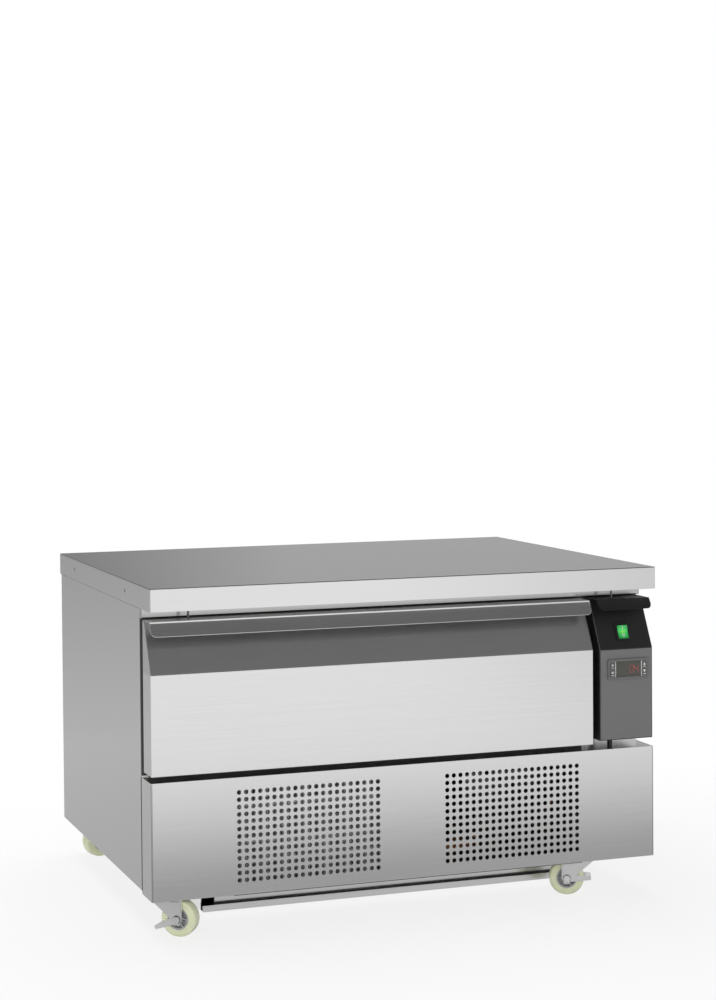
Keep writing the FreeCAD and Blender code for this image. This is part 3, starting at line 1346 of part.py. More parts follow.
# evaporator behind its cover at the back of the cavity, with one fan
def make_evaporator():
    span = [number(name) for name in ("cool_left", "cool_right", "cool_front", "cavity_back")]
    height = number("cool_top") - number("cool_bottom")
    node("evaporator_coil", finned_coil(*span, number("cool_bottom"), height))
    sheet_y = ("cover_front", "cover_front + cover_sheet")
    sheet = block(("cavity_left", "cavity_right"), sheet_y, ("cavity_floor", "cavity_top"))
    mouth = rod("y", ("cool_fan_x", "cool_fan_z"), sheet_y, "cool_fan_size + 2 * fan_gap")
    slot_z = ("cool_bottom + air_slot_margin", "cool_top - air_slot_margin")
    room = number("cool_right") - number("cool_left") - 2 * number("air_slot_edge")
    count = int((room - number("air_slot_width")) // number("air_slot_pitch")) + 1
    slots = []
    for index in range(count):
        x = f"(cool_left + cool_right) / 2 + ({index} - ({count} - 1) / 2) * air_slot_pitch"
        slots.append(block(centred(x, "air_slot_width"), sheet_y, slot_z))
    node("evaporator_cover", cut(sheet, mouth, *slots))
    spot = ("cool_fan_x", "cool_fan_z")
    barrel = rod("y", spot, ("cool_motor_front", "cavity_back"), "cool_motor_size")
    shaft_room = ("cool_motor_front", "cool_motor_front + shaft_length")
    node("evaporator_fan_motor", cut(barrel, rod("y", spot, shaft_room, "shaft_size + 2 * fit_gap")))
    back = number("cool_fan_back")
    front = back - number("cool_fan_depth")
    shaft_end = number("cool_motor_front") + number("shaft_length") - number("motor_gap")
    place_xz = (number("cool_fan_x"), number("cool_fan_z"))
    node("evaporator_fan", fan_solid(*place_xz, front, back, number("cool_fan_size"), shaft_end))


def make_gland():
    spot = ("gland_x", "gland_z")
    nose = rod("y", spot, ("back_in - gland_depth", "cabinet_back + gland_proud"), "gland_size")
    flange_y = ("back_in - gland_depth", "back_in")
    nut = rod("y", spot, flange_y, "gland_size + 2 * gland_proud")
    bore = rod("y", spot, ("back_in - gland_depth", "cabinet_back + gland_proud"), "gland_bore")
    node("cable_gland", cut(joined(nose, nut), bore))


# screws and bolts that fasten the cabinet, as one group
def make_fasteners():
    pieces = []
    for side in SIDES:
        for y in SIDE_SCREW_YS:
            head_span = mirrored_span(side, "worktop_side - screw_head_thick", "worktop_side")
            shank_span = mirrored_span(side, "worktop_side - screw_length", "worktop_side")
            head = rod("x", (y, SIDE_SCREW_Z), head_span, "screw_head")
            pieces.append(joined(head, rod("x", (y, SIDE_SCREW_Z), shank_span, "screw_size")))
    for side, height in BACK_SCREWS:
        spot = back_screw_place(side, height)
        head_span = ("cabinet_back", "cabinet_back + screw_head_thick")
        grip = "back_in - base_sheet" if height == "low" else "back_in"
        head = rod("y", spot, head_span, "screw_head")
        pieces.append(joined(head, rod("y", spot, (grip, "cabinet_back"), "screw_size")))
    for spot in caster_bolt_places():
        seat = "base_under - plate_thick"
        head = rod("z", spot, (f"{seat} - bolt_head_thick", seat), "bolt_head")
        shank = rod("z", spot, (seat, "base_top"), "bolt_size")
        nut = rod("z", spot, ("base_top", "base_top + bolt_head_thick"), "bolt_head")
        pieces.append(joined(head, shank, nut))
    for side in SIDES:
        spot = (f"{side} * (worktop_side - stud_side)", "worktop_front + stud_back")
        stud_z = ("worktop_under - stud_length", "worktop_under")
        pieces.append(rod("z", spot, stud_z, "stud_size"))
    node("cabinet_screws", group(*pieces))


make_worktop()
make_side_panels()
make_back_panel()
make_insulated_box()
make_front()
make_grille_panel()
make_base()
make_drawer_front()
make_drawer_inside()
make_control_box()
make_controller()
make_switch()
make_casters()
make_condenser()
make_compressor()
make_pipes()
make_evaporator()
make_gland()
make_fasteners()
doc.recompute()

failed = [thing.Name for thing in doc.Objects if {"Invalid", "Error"} & set(thing.State)]
if failed:
    raise RuntimeError("objects that did not build: " + ", ".join(failed))
for piece in nodes:
    if piece.Shape.isNull() or not piece.Shape.isValid() or not piece.Shape.Solids:
        raise RuntimeError("no valid solid in " + piece.Label)

os.makedirs("parts", exist_ok=True)
for piece in nodes:
    piece.Shape.exportStep(os.path.join("parts", piece.Label + ".step"))
print(len(nodes), "sub-parts written")
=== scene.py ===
import json
import math

import bmesh
import bpy
from mathutils import Matrix, Vector
from mathutils.bvhtree import BVHTree


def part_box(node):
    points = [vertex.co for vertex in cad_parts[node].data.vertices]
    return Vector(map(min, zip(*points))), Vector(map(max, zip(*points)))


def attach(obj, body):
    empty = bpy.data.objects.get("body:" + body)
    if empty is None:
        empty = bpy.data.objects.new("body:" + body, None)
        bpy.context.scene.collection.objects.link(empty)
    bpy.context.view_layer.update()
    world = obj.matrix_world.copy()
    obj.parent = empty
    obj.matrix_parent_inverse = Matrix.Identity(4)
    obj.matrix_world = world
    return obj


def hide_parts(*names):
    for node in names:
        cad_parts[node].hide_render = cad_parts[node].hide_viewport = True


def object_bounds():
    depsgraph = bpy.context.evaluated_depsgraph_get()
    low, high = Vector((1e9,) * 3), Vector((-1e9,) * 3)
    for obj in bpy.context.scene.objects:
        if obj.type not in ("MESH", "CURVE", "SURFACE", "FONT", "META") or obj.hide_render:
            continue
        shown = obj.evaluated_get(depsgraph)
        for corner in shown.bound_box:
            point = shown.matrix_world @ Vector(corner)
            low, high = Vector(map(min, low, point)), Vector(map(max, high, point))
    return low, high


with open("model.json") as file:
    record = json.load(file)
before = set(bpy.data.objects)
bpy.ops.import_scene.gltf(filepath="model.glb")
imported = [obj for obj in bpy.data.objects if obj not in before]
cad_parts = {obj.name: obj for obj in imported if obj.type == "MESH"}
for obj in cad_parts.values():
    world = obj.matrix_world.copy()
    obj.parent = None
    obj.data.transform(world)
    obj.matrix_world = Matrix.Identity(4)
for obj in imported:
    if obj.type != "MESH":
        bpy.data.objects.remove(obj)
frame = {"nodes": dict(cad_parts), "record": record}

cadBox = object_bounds()
scene = bpy.context.scene
scene.view_settings.view_transform = "Standard"
nodes = frame["nodes"]
joints = {joint["name"]: joint for joint in frame["record"]["behaviour"]["joints"]}
corners = ("front_left", "front_right", "rear_left", "rear_right")
print("frame loaded:", len(nodes), "nodes")


# camera, fitted to the worktop, drawer, grille and caster corners of the photo
camera = {
    "place": (-1.2851, -3.7332, 0.9356),
    "turn": -20.318,  # degrees about Z
    "tilt": 1.631,  # degrees downwards
    "roll": -0.415,
    "sensor": 36,
    "lens": 78.44,
    "shift": (-0.0359, -0.0801),
    "far": 100,
}


def addCamera(values):
    lensData = bpy.data.cameras.new("camera")
    lensData.sensor_width = values["sensor"]
    lensData.lens = values["lens"]
    lensData.shift_x, lensData.shift_y = values["shift"]
    lensData.clip_end = values["far"]
    cam = bpy.data.objects.new("camera", lensData)
    scene.collection.objects.link(cam)
    turn = Matrix.Rotation(math.radians(values["turn"]), 4, "Z")
    tilt = Matrix.Rotation(math.radians(90 - values["tilt"]), 4, "X")
    roll = Matrix.Rotation(math.radians(values["roll"]), 4, "Z")
    cam.matrix_world = Matrix.Translation(values["place"]) @ turn @ tilt @ roll
    scene.camera = cam


addCamera(camera)


# node helpers
def greyRamp(tree, factor, levels):
    return addRamp(tree, factor, [(place, (level, level, level)) for place, level in levels])


def addRamp(tree, factor, stops):
    ramp = tree.nodes.new("ShaderNodeValToRGB")
    elements = ramp.color_ramp.elements
    while len(elements) < len(stops):
        elements.new(1.0)  # moved to its own stop below
    for element, (place, colour) in zip(elements, stops):
        element.position = place
        element.color = (*colour, 1)
    tree.links.new(factor, ramp.inputs["Fac"])
    return ramp.outputs["Color"]


def mapTo(tree, factor, source, target):
    spread = tree.nodes.new("ShaderNodeMapRange")
    spread.inputs["From Min"].default_value, spread.inputs["From Max"].default_value = source
    spread.inputs["To Min"].default_value, spread.inputs["To Max"].default_value = target
    tree.links.new(factor, spread.inputs["Value"])
    return spread.outputs["Result"]


def emptyMaterial(name):
    mat = bpy.data.materials.new(name)
    mat.use_nodes = True
    mat.node_tree.nodes.clear()
    return mat, mat.node_tree


# studio: a white room, a pale floor, grey cards round the counter and two soft lamps
studio = {
    "roomColour": (1, 1, 1, 1),
    "floorColour": (0.92, 0.92, 0.92, 1),
    "floorMiddle": (0.1, -0.75, 0),
    "floorHalf": 6,
    "floorFade": (1.0, 1.9),  # distance over which the floor gives way to the white room
    "floorLift": 0.8,  # share of plain white in the floor that the camera and shiny pieces see
}
overheadLamp = {"place": (-0.2, 0.9, 3.4), "aim": (0, 0.1, 0.3), "size": 3.0, "power": 100}
frontLamp = {"place": (-1.3, -3.3, 0.9), "aim": (0, -0.3, 0.2), "size": 2.0, "power": 30}
# each card: its outline, its levels along one axis and, along X, a gain
ceilingCard = {
    "outline": ((-7, -7.5, 4), (7, -7.5, 4), (7, 4.5, 4), (-7, 4.5, 4)),
    "axis": "Y",
    "span": (-7.5, 4.5),
    "levels": ((0.0, 0.34), (0.2, 0.19), (0.33, 0.13), (0.42, 0.15), (1.0, 0.15)),  # front to back
    "mirrorOnly": False,
}
wallCard = {
    "outline": ((-8, 4.5, -2.5), (9, 4.5, -2.5), (9, 4.5, 4), (-8, 4.5, 4)),
    "axis": "Z",
    "span": (-1.5, 2.5),
    "levels": (  # foot to top
        (0.0, 0.92), (0.125, 0.89), (0.275, 0.78), (0.4, 0.62), (0.6, 0.45), (1.0, 0.34),
    ),
    "gainSpan": (-1.2, 1.3),
    "gains": ((0.0, 0.66), (0.5, 0.42), (0.68, 0.62), (1.0, 1.0)),  # brightest to the right
    "mirrorOnly": False,
}
frontCard = {
    "outline": ((-8, -7, -4), (10, -7, -4), (10, -7, 4), (-8, -7, 4)),
    "axis": "X",
    "span": (0, 6),
    "levels": ((0.0, 0.94), (0.3, 1.0), (0.45, 1.0), (0.62, 0.78), (1.0, 0.6)),  # left to right
    "mirrorOnly": False,
}
apronCard = {
    "outline": ((-2.4, -1.9, 0.002), (3.4, -1.9, 0.002), (3.4, -0.235, 0.002), (-2.4, -0.235, 0.002)),
    "axis": "Y",
    "span": (-1.9, -0.235),
    "levels": (  # front to back
        (0.0, 1.0), (0.192, 0.95), (0.48, 0.64), (0.72, 0.38),
        (0.865, 0.4), (0.937, 0.54), (0.97, 0.6), (1.0, 0.48),
    ),
    "mirrorOnly": True,  # a grey apron on the floor, seen in the steel's reflections alone
}
sideCard = {
    "outline": ((-2.4, -0.235, 0.002), (-0.46, -0.235, 0.002), (-0.46, 1.6, 0.002), (-2.4, 1.6, 0.002)),
    "axis": "Y",
    "span": (-0.3, 1.6),
    "levels": ((0.0, 0.45), (1.0, 0.55)),
    "mirrorOnly": True,
}
leftCard = {
    "outline": ((-3.2, -4.5, -1.0), (-3.2, -0.5, -1.0), (-3.2, -0.5, 2.5), (-3.2, -4.5, 2.5)),
    "axis": "Y",
    "span": (-4.5, -0.5),
    "levels": ((0.0, 0.1), (1.0, 0.1)),  # dark, so that the folds at the front left show as lines
    "mirrorOnly": True,
}


def addFloor(values):
    bm = bmesh.new()
    bmesh.ops.create_grid(bm, x_segments=1, y_segments=1, size=values["floorHalf"])
    mesh = bpy.data.meshes.new("floor")
    bm.to_mesh(mesh)
    bm.free()
    floor = bpy.data.objects.new("floor", mesh)
    scene.collection.objects.link(floor)
    floor.location = values["floorMiddle"]
    mat, tree = emptyMaterial("paleFloor")
    link = tree.links.new
    coord = tree.nodes.new("ShaderNodeTexCoord")
    length = tree.nodes.new("ShaderNodeVectorMath")
    length.operation = "LENGTH"
    fade = tree.nodes.new("ShaderNodeMapRange")
    fade.interpolation_type = "SMOOTHSTEP"
    fade.inputs["From Min"].default_value, fade.inputs["From Max"].default_value = values["floorFade"]
    link(coord.outputs["Object"], length.inputs[0])
    link(length.outputs["Value"], fade.inputs["Value"])
    matt = tree.nodes.new("ShaderNodeBsdfDiffuse")
    matt.inputs["Color"].default_value = values["floorColour"]
    white = tree.nodes.new("ShaderNodeEmission")
    path = tree.nodes.new("ShaderNodeLightPath")
    seen = path.outputs["Is Camera Ray"]
    for ray in ("Is Glossy Ray", "Is Transmission Ray"):
        either = tree.nodes.new("ShaderNodeMath")
        either.operation = "MAXIMUM"
        link(seen, either.inputs[0])
        link(path.outputs[ray], either.inputs[1])
        seen = either.outputs[0]
    lifted = tree.nodes.new("ShaderNodeMixShader")
    link(mapTo(tree, seen, (0, 1), (0, values["floorLift"])), lifted.inputs["Fac"])
    link(matt.outputs[0], lifted.inputs[1])
    link(white.outputs[0], lifted.inputs[2])
    far = tree.nodes.new("ShaderNodeBsdfTransparent")
    blend = tree.nodes.new("ShaderNodeMixShader")
    out = tree.nodes.new("ShaderNodeOutputMaterial")
    link(fade.outputs["Result"], blend.inputs["Fac"])
    link(lifted.outputs[0], blend.inputs[1])
    link(far.outputs[0], blend.inputs[2])
    link(blend.outputs[0], out.inputs["Surface"])
    mesh.materials.append(mat)


def addCard(name, values):
    mesh = bpy.data.meshes.new(name)
    mesh.from_pydata(values["outline"], [], [(0, 1, 2, 3)])
    card = bpy.data.objects.new(name, mesh)
    scene.collection.objects.link(card)
    card.visible_camera = False
    card.visible_diffuse = not values["mirrorOnly"]
    card.visible_shadow = not values["mirrorOnly"]
    mat, tree = emptyMaterial(name)
    coord = tree.nodes.new("ShaderNodeTexCoord")
    split = tree.nodes.new("ShaderNodeSeparateXYZ")
    tree.links.new(coord.outputs["Object"], split.inputs[0])
    along = mapTo(tree, split.outputs[values["axis"]], values["span"], (0, 1))
    level = greyRamp(tree, along, values["levels"])
    glow = tree.nodes.new("ShaderNodeEmission")
    out = tree.nodes.new("ShaderNodeOutputMaterial")
    tree.links.new(level, glow.inputs["Color"])
    if "gains" in values:
        across = mapTo(tree, split.outputs["X"], values["gainSpan"], (0, 1))
        tree.links.new(greyRamp(tree, across, values["gains"]), glow.inputs["Strength"])
    tree.links.new(glow.outputs[0], out.inputs["Surface"])
    mesh.materials.append(mat)


def addRoom(values):
    world = bpy.data.worlds.new("whiteRoom")
    scene.world = world
    world.use_nodes = True
    world.node_tree.nodes["Background"].inputs["Color"].default_value = values["roomColour"]


def addLamp(name, values):
    light = bpy.data.lights.new(name, "AREA")
    light.shape = "SQUARE"
    light.size = values["size"]
    light.energy = values["power"]
    lamp = bpy.data.objects.new(name, light)
    scene.collection.objects.link(lamp)
    lamp.location = values["place"]
    aim = Vector(values["aim"]) - Vector(values["place"])
    lamp.rotation_euler = aim.to_track_quat("-Z", "Y").to_euler()
    lamp.visible_glossy = False  # steel mirrors the cards and the room, not the lamps


addFloor(studio)
addCard("ceilingCard", ceilingCard)
addCard("wallCard", wallCard)
addCard("frontCard", frontCard)
addCard("apronCard", apronCard)
addCard("sideCard", sideCard)
addCard("leftCard", leftCard)
addRoom(studio)
addLamp("overheadLamp", overheadLamp)
addLamp("frontLamp", frontLamp)
print("camera and studio set")


# material parts: every finish starts from one of these
def newFinish(name, metallic, roughness):
    mat = bpy.data.materials.new(name)
    mat.use_nodes = True
    tree = mat.node_tree
    shader = tree.nodes["Principled BSDF"]
    shader.inputs["Metallic"].default_value = metallic
    shader.inputs["Roughness"].default_value = roughness
    coord = tree.nodes.new("ShaderNodeTexCoord")
    return mat, tree, shader, coord.outputs["Object"]


def addNoise(tree, coords, scale, stretch=(1, 1, 1), detail=3.0):
    mapping = tree.nodes.new("ShaderNodeMapping")
    mapping.inputs["Scale"].default_value = stretch
    noise = tree.nodes.new("ShaderNodeTexNoise")
    noise.inputs["Scale"].default_value = scale
    noise.inputs["Detail"].default_value = detail
    tree.links.new(coords, mapping.inputs["Vector"])
    tree.links.new(mapping.outputs[0], noise.inputs["Vector"])
    return noise.outputs["Fac"]


noiseSpan = (0.3, 0.7)  # where most of a noise lies
edgeSamples = 4  # rays for a softened edge


def addBump(tree, shader, factor, strength, depth, edge):
    bump = tree.nodes.new("ShaderNodeBump")
    bump.inputs["Strength"].default_value = strength
    bump.inputs["Distance"].default_value = depth
    tree.links.new(factor, bump.inputs["Height"])
    bevel = tree.nodes.new("ShaderNodeBevel")  # softened edges, as folded and moulded pieces have
    bevel.samples = edgeSamples
    bevel.inputs["Radius"].default_value = edge
    tree.links.new(bevel.outputs[0], bump.inputs["Normal"])
    tree.links.new(bump.outputs[0], shader.inputs["Normal"])


def shade(colour, factor):
    return tuple(min(1.0, part * factor) for part in colour)


# brushed steel: fine lines along the brushing and faint clouding
steel = {
    "metallic": 1.0,
    "tint": (0.78, 0.78, 0.78),
    "dark": 0.92,
    "roughness": 0.20,
    "spread": 0.03,
    "cloud": 0.25,
    "cloudScale": 3.5,
    "lines": (6, 900, 900),
    "lineDetail": 4.0,
    "lineStrength": 0.06,
    "lineDepth": 0.0002,
    "edge": 0.0006,
}


def brushedMetal(name, **changes):
    values = {**steel, **changes}
    mat, tree, shader, coords = newFinish(name, values["metallic"], values["roughness"])
    streak = addNoise(tree, coords, 1.0, values["lines"], values["lineDetail"])
    cloud = addNoise(tree, coords, values["cloudScale"])
    mix = tree.nodes.new("ShaderNodeMath")
    mix.operation = "MULTIPLY_ADD"
    mix.inputs[1].default_value = values["cloud"]
    tree.links.new(cloud, mix.inputs[0])
    tree.links.new(streak, mix.inputs[2])
    tint, spread = values["tint"], values["spread"]
    low, high = noiseSpan[0], noiseSpan[1] + values["cloud"]
    colour = addRamp(tree, mix.outputs[0], ((low, shade(tint, values["dark"])), (min(high, 1.0), tint)))
    tree.links.new(colour, shader.inputs["Base Color"])
    roughSpan = (values["roughness"] - spread, values["roughness"] + spread)
    rough = mapTo(tree, mix.outputs[0], (low, high), roughSpan)
    tree.links.new(rough, shader.inputs["Roughness"])
    addBump(tree, shader, streak, values["lineStrength"], values["lineDepth"], values["edge"])
    return mat


steelAcross = brushedMetal("steelAcross")
steelSide = brushedMetal("steelSide", lines=(900, 6, 900))
# darker copy of the brushed steel: painted shade on the rail under the worktop and on the grille panel's
# corner folds
shadedSteel = brushedMetal("shadedSteel", tint=(0.56, 0.56, 0.56))
# darker copy of the brushed steel: painted shade on the drawer's handle strip
shadedHandleSteel = brushedMetal("shadedHandleSteel", tint=(0.68, 0.68, 0.68), roughness=0.3)
steelInner = brushedMetal("steelInner", tint=(0.66, 0.67, 0.68), roughness=0.36)
zinc = {"cloud": 0.6, "lines": (60, 60, 60)}  # clouded, with no direction of brushing
zincPlate = brushedMetal("zincPlate", tint=(0.93, 0.93, 0.93), roughness=0.44, **zinc)
forkZinc = brushedMetal("forkZinc", tint=(0.93, 0.93, 0.93), roughness=0.3, **zinc)
darkZinc = brushedMetal("darkZinc", tint=(0.16, 0.16, 0.17), roughness=0.36, **zinc)
finAluminium = brushedMetal(
    "finAluminium", metallic=0.3, tint=(0.86, 0.86, 0.86), roughness=0.5, lines=(400, 20, 20)
)
copperTube = brushedMetal("copperTube", tint=(0.72, 0.36, 0.20), dark=0.7, cloud=0.7, lines=(40, 40, 40))

# galvanised sheet: spangles of slightly different grey
galvanised = {
    "metallic": 1.0,
    "tint": (0.58, 0.59, 0.60),
    "dark": 0.84,
    "spangle": 90,
    "grain": 160,
    "roughness": (0.36, 0.52),
    "bump": 0.04,
    "bumpDepth": 0.0003,
    "edge": 0.0008,
}


def galvanisedMetal(name, values):
    mat, tree, shader, coords = newFinish(name, values["metallic"], values["roughness"][0])
    spangle = tree.nodes.new("ShaderNodeTexVoronoi")
    spangle.inputs["Scale"].default_value = values["spangle"]
    tree.links.new(coords, spangle.inputs["Vector"])
    tint = values["tint"]
    colour = addRamp(tree, spangle.outputs["Color"], ((0.0, shade(tint, values["dark"])), (1.0, tint)))
    tree.links.new(colour, shader.inputs["Base Color"])
    grain = addNoise(tree, coords, values["grain"])
    tree.links.new(mapTo(tree, grain, noiseSpan, values["roughness"]), shader.inputs["Roughness"])
    addBump(tree, shader, grain, values["bump"], values["bumpDepth"], values["edge"])
    return mat


galvanisedSheet = galvanisedMetal("galvanisedSheet", galvanised)

# moulded plastic, rubber, foam and painted pieces: a fine grain over a slightly uneven colour
plastic = {
    "tint": (0.014, 0.014, 0.015),
    "roughness": 0.45,
    "spread": 0.07,
    "grain": 900,
    "grainStrength": 0.12,
    "grainDepth": 0.0003,
    "grainDetail": 2.0,
    "uneven": 0.82,
    "patches": 14,
    "patchDetail": 4.0,
    "edge": 0.0008,
    "coat": 0.0,
    "depth": 0.0,  # how much light goes under the surface
    "scatter": (0.004, 0.004, 0.002),  # and how far
}


def mouldedPlastic(name, **changes):
    values = {**plastic, **changes}
    tint, rough, spread = values["tint"], values["roughness"], values["spread"]
    mat, tree, shader, coords = newFinish(name, metallic=0.0, roughness=rough)
    shader.inputs["Coat Weight"].default_value = values["coat"]
    shader.inputs["Subsurface Weight"].default_value = values["depth"]
    shader.inputs["Subsurface Radius"].default_value = values["scatter"]
    grain = addNoise(tree, coords, values["grain"], detail=values["grainDetail"])
    patches = addNoise(tree, coords, values["patches"], detail=values["patchDetail"])
    colour = addRamp(tree, patches, ((noiseSpan[0], shade(tint, values["uneven"])), (noiseSpan[1], tint)))
    tree.links.new(colour, shader.inputs["Base Color"])
    grainRough = mapTo(tree, grain, noiseSpan, (rough - spread, rough + spread))
    tree.links.new(grainRough, shader.inputs["Roughness"])
    addBump(tree, shader, grain, values["grainStrength"], values["grainDepth"], values["edge"])
    return mat


blackPlastic = mouldedPlastic("blackPlastic", roughness=0.42)
# paler black plastic: a painted highlight along the control box's front left edge
highlightPlastic = mouldedPlastic("highlightPlastic", tint=(0.11, 0.11, 0.11), roughness=0.4)
framePlastic = mouldedPlastic("framePlastic", tint=(0.07, 0.072, 0.075), roughness=0.5)
smooth = {"grain": 1500, "grainStrength": 0.05, "uneven": 0.95}
fasciaFilm = mouldedPlastic("fasciaFilm", tint=(0.16, 0.16, 0.16), **smooth)
bezelPlastic = mouldedPlastic("bezelPlastic", tint=(0.135, 0.135, 0.133), **smooth)
keyRubber = mouldedPlastic("keyRubber", tint=(0.11, 0.11, 0.11), roughness=0.5, uneven=0.92)
# dark rubber of the drawer gasket, also the painted shade of the shadow lines at the panel joints
gasketRubberAndShade = mouldedPlastic("gasketRubberAndShade", tint=(0.035, 0.036, 0.037), roughness=0.6, grainStrength=0.2)
treadUrethane = mouldedPlastic(
    "treadUrethane", tint=(0.80, 0.83, 0.58), roughness=0.34,
    grain=400, grainStrength=0.08, uneven=0.9, depth=0.35,
)
hubPlastic = mouldedPlastic("hubPlastic", tint=(0.42, 0.425, 0.43))
# black paint of the compressor and fan motors, also the painted shade in the screws' cross recesses
blackPaintAndShade = mouldedPlastic(
    "blackPaintAndShade", tint=(0.012, 0.012, 0.013), roughness=0.33, grain=260, grainStrength=0.1
)
fanPlastic = mouldedPlastic("fanPlastic", tint=(0.02, 0.02, 0.022))
drainHose = mouldedPlastic("drainHose", tint=(0.27, 0.28, 0.29), roughness=0.55)
foamCells = mouldedPlastic(
    "foamCells", tint=(0.78, 0.70, 0.42), roughness=0.9, grain=520, grainStrength=0.6, uneven=0.86
)
coreBoard = mouldedPlastic(
    "coreBoard", tint=(0.42, 0.27, 0.14), roughness=0.8, grain=240, grainStrength=0.4, uneven=0.7
)
displayDark = mouldedPlastic(
    "displayDark", tint=(0.048, 0.048, 0.038), roughness=0.16,
    grain=700, grainStrength=0.01, uneven=0.92, coat=0.6,
)
markWhite = mouldedPlastic("markWhite", tint=(0.85, 0.85, 0.83), roughness=0.55, uneven=0.9)

# lit plastic: brightest at its middle, where the lamp stands behind it
rockerLight = {
    "middle": (0.39485, -0.331, 0.457),
    "reach": 0.014,
    "stops": ((0.0, (0.22, 0.72, 0.08)), (0.45, (0.05, 0.50, 0.10)), (1.0, (0.02, 0.24, 0.06))),
    "glow": 0.35,
    "roughness": 0.25,
}
digitLight = {
    "middle": (0.4105, -0.349, 0.3945),
    "reach": 0.016,
    "stops": ((0.0, (0.30, 0.045, 0.04)), (1.0, (0.16, 0.03, 0.028))),
    "glow": 0.35,
    "roughness": 0.4,
}


def litPlastic(name, values):
    mat, tree, shader, coords = newFinish(name, metallic=0.0, roughness=values["roughness"])
    centred = tree.nodes.new("ShaderNodeMapping")
    centred.inputs["Location"].default_value = tuple(-part for part in values["middle"])
    tree.links.new(coords, centred.inputs["Vector"])
    length = tree.nodes.new("ShaderNodeVectorMath")
    length.operation = "LENGTH"
    tree.links.new(centred.outputs[0], length.inputs[0])
    away = mapTo(tree, length.outputs["Value"], (0, values["reach"]), (0, 1))
    colour = addRamp(tree, away, values["stops"])
    tree.links.new(colour, shader.inputs["Base Color"])
    tree.links.new(colour, shader.inputs["Emission Color"])
    shader.inputs["Emission Strength"].default_value = values["glow"]
    return mat


rockerGreen = litPlastic("rockerGreen", rockerLight)
digitRed = litPlastic("digitRed", digitLight)

finishes = {
    steelAcross: ("worktop", "lower_front_panel", "drawer_front_skin", "base_frame", "base_tray"),
    # painted shade: the top rail in a darker copy of the stainless
    shadedSteel: ("top_rail",),
    # painted shade: the handle strip in a darker copy of the stainless
    shadedHandleSteel: ("drawer_handle",),
    steelSide: ("left_side_panel", "right_side_panel"),
    steelInner: ("inner_liner", "drawer_front_liner", "drawer_tub", "evaporator_cover"),
    galvanisedSheet: ("back_panel", "condenser_shroud"),
    zincPlate: (
        "cabinet_runners", "middle_runners", "drawer_runners", "caster_plates",
        *(corner + "_axle" for corner in corners),
    ),
    forkZinc: (
        "front_left_brake_lever", "front_right_brake_lever", *(corner + "_fork" for corner in corners),
    ),
    darkZinc: ("cabinet_screws",),
    coreBoard: ("worktop_core",),
    foamCells: ("cabinet_insulation", "drawer_front_core"),
    framePlastic: ("front_frame",),
    blackPlastic: ("control_housing", "switch_frame_body", "wiring_conduit", "cable_gland"),
    fasciaFilm: ("control_fascia",),
    bezelPlastic: ("controller_case",),
    displayDark: ("display_window",),
    keyRubber: ("set_key", "defrost_key", "up_key", "down_key"),
    rockerGreen: ("power_rocker",),
    gasketRubberAndShade: ("drawer_gasket",),
    treadUrethane: tuple(corner + "_wheel" for corner in corners),
    blackPaintAndShade: ("compressor", "condenser_fan_motor", "evaporator_fan_motor"),
    fanPlastic: ("condenser_fan", "evaporator_fan"),
    finAluminium: ("condenser_coil", "evaporator_coil"),
    copperTube: ("refrigerant_pipes",),
    drainHose: ("drain_pipe",),
}
for finish, names in finishes.items():
    for name in names:
        slots = nodes[name].data.materials
        slots.clear()
        slots.append(finish)
print("finishes on", sum(len(names) for names in finishes.values()), "nodes")


# mesh parts
mergeGap = 1e-6  # points nearer than this become one
beadSides = 2  # steps in the round of a bead
# the slant of the drawer front and the control box, as (y, z)
slant = {"foot": (-0.345, 0.430), "top": (-0.3035, 0.512)}


def rideOn(piece, body):
    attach(piece, body)
    return piece


def addPiece(name, bm, finish, body):
    bmesh.ops.remove_doubles(bm, verts=bm.verts, dist=mergeGap)
    bmesh.ops.recalc_face_normals(bm, faces=bm.faces)
    mesh = bpy.data.meshes.new(name)
    bm.to_mesh(mesh)
    bm.free()
    mesh.materials.append(finish)
    piece = bpy.data.objects.new(name, mesh)
    scene.collection.objects.link(piece)
    return rideOn(piece, body)


def lathe(bm, profile, steps, place):
    # profile: closed ring of (radius, along) points, turned about the local Y axis
    rings = []
    for step in range(steps):
        angle = 2 * math.pi * step / steps
        turned = [Vector((r * math.cos(angle), y, r * math.sin(angle))) for r, y in profile]
        rings.append([bm.verts.new(place @ point) for point in turned])
    for ring, after in zip(rings, rings[1:] + rings[:1]):
        for index in range(len(profile)):
            nextIndex = (index + 1) % len(profile)
            bm.faces.new((ring[index], ring[nextIndex], after[nextIndex], after[index]))


def prism(bm, outline, low, high, place):
    # outline: (x, z) points; the prism runs from low to high along the local Y axis
    front = [bm.verts.new(place @ Vector((x, low, z))) for x, z in outline]
    back = [bm.verts.new(place @ Vector((x, high, z))) for x, z in outline]
    bm.faces.new(front)
    bm.faces.new(list(reversed(back)))
    for index in range(len(outline)):
        nextIndex = (index + 1) % len(outline)
        bm.faces.new((front[nextIndex], front[index], back[index], back[nextIndex]))


